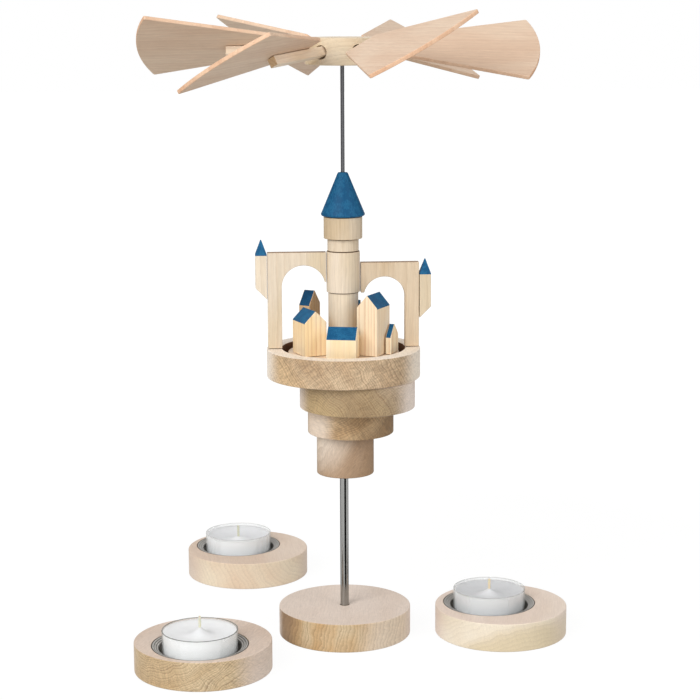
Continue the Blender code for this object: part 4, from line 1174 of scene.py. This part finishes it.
# 1 for what the camera sees itself, in a reflection or through a clear cup, and 0 for light
# that falls on the object
def seenShare(tree):
    seen = addNode(tree, "LightPath").outputs
    direct = addNode(tree, "Math", {0: seen["Is Camera Ray"], 1: seen["Is Glossy Ray"]},
                     operation="MAXIMUM")
    return addNode(tree, "Math", {0: direct, 1: seen["Is Transmission Ray"]}, operation="MAXIMUM")


# White paper: it burns out to white for the camera but keeps the object's shadow
def makeFloor():
    floor = makeSheet("studio_floor", [floorLook["side"]] * 2, (0, 0, -floorLook["below"]))
    material, tree, shader = newMaterial(
        "paperSweep", Base_Color=hexColour(floorLook["paper"]), Roughness=0.9)
    through = seenShare(tree)
    place = addNode(tree, "TexCoord").outputs["Object"]
    away = addNode(tree, "VectorMath", {0: place}, operation="LENGTH").outputs["Value"]
    burnt = addNode(tree, "MapRange", {
        0: away, 1: floorLook["fadeFrom"], 2: floorLook["fadeTo"], 3: floorLook["near"], 4: 1.0})
    share = addNode(tree, "Math", {0: through, 1: burnt}, operation="MULTIPLY")
    white = addNode(tree, "Emission", {"Color": (1, 1, 1, 1), "Strength": floorLook["white"]})
    mixed = addNode(tree, "MixShader", {0: share, 1: shader, 2: white})
    fillSockets(tree, tree.nodes["Material Output"], {"Surface": mixed})
    floor.data.materials.append(material)


# Flags, seen in reflections alone: a black strip in front draws the dark line down the
# tube, two grey strips behind shade its edges, and two boards at the sides darken the
# edges of the spindle
def makeFlags():
    for name, form in flags.items():
        bearing = Matrix.Rotation(radians(form["azimuth"]), 4, "Z")
        place = bearing @ Vector((0, -form["distance"], form["size"][1] / 2))
        turn = bearing @ Matrix.Rotation(pi / 2, 4, "X")
        flag = makeSheet("flag_" + name, form["size"], place, turn)
        material, tree, shader = newMaterial(
            "velvet_" + name, Base_Color=(0, 0, 0, 1), Roughness=1.0, Specular_IOR_Level=0.0,
            Emission_Color=hexColour(form["tone"]), Emission_Strength=1.0)
        flag.data.materials.append(material)
        flag.visible_camera = False
        flag.visible_diffuse = False
        flag.visible_shadow = False
        flag.visible_transmission = False


def makeWorld():
    world = bpy.data.worlds.new("studio")
    bpy.context.scene.world = world
    world.use_nodes = True
    tree = world.node_tree
    tree.nodes.clear()
    through = seenShare(tree)
    dim = addNode(tree, "Background", {"Color": (1, 1, 1, 1), "Strength": worldLevel})
    white = addNode(tree, "Background", {"Color": (1, 1, 1, 1), "Strength": 1.0})
    mixed = addNode(tree, "MixShader", {0: through, 1: dim, 2: white})
    addNode(tree, "OutputWorld", {"Surface": mixed})


# A square softbox turned towards the middle of the island
def addSoftbox(name, place, size, power):
    lamp = bpy.data.lights.new(name + "_softbox", "AREA")
    lamp.shape = "SQUARE"
    lamp.size = size
    lamp.energy = power
    softbox = bpy.data.objects.new(name + "_softbox", lamp)
    bpy.context.scene.collection.objects.link(softbox)
    softbox.location = place
    softbox.rotation_euler = (Vector(lampAim) - Vector(place)).to_track_quat("-Z", "Y").to_euler()


def makeCamera():
    pitch, yaw, roll = (radians(camera[key]) for key in ("pitch", "yaw", "roll"))
    forward = Vector((sin(yaw) * cos(pitch), cos(yaw) * cos(pitch), -sin(pitch)))
    level = Vector((cos(yaw), -sin(yaw), 0))
    upright = level.cross(forward)
    right = cos(roll) * level + sin(roll) * upright
    up = cos(roll) * upright - sin(roll) * level
    view = Matrix((right, up, -forward)).transposed().to_4x4()
    view.translation = camera["place"]
    data = bpy.data.cameras.new("camera")
    data.sensor_width = camera["sensor"]
    data.lens = camera["lens"]
    eye = bpy.data.objects.new("camera", data)
    eye.matrix_world = view
    bpy.context.scene.collection.objects.link(eye)
    bpy.context.scene.camera = eye


makeFloor()
makeFlags()
makeWorld()
for name, form in softboxes.items():
    addSoftbox(name, **form)
makeCamera()
bpy.context.scene.view_settings.view_transform = "Standard"
print("studio set")
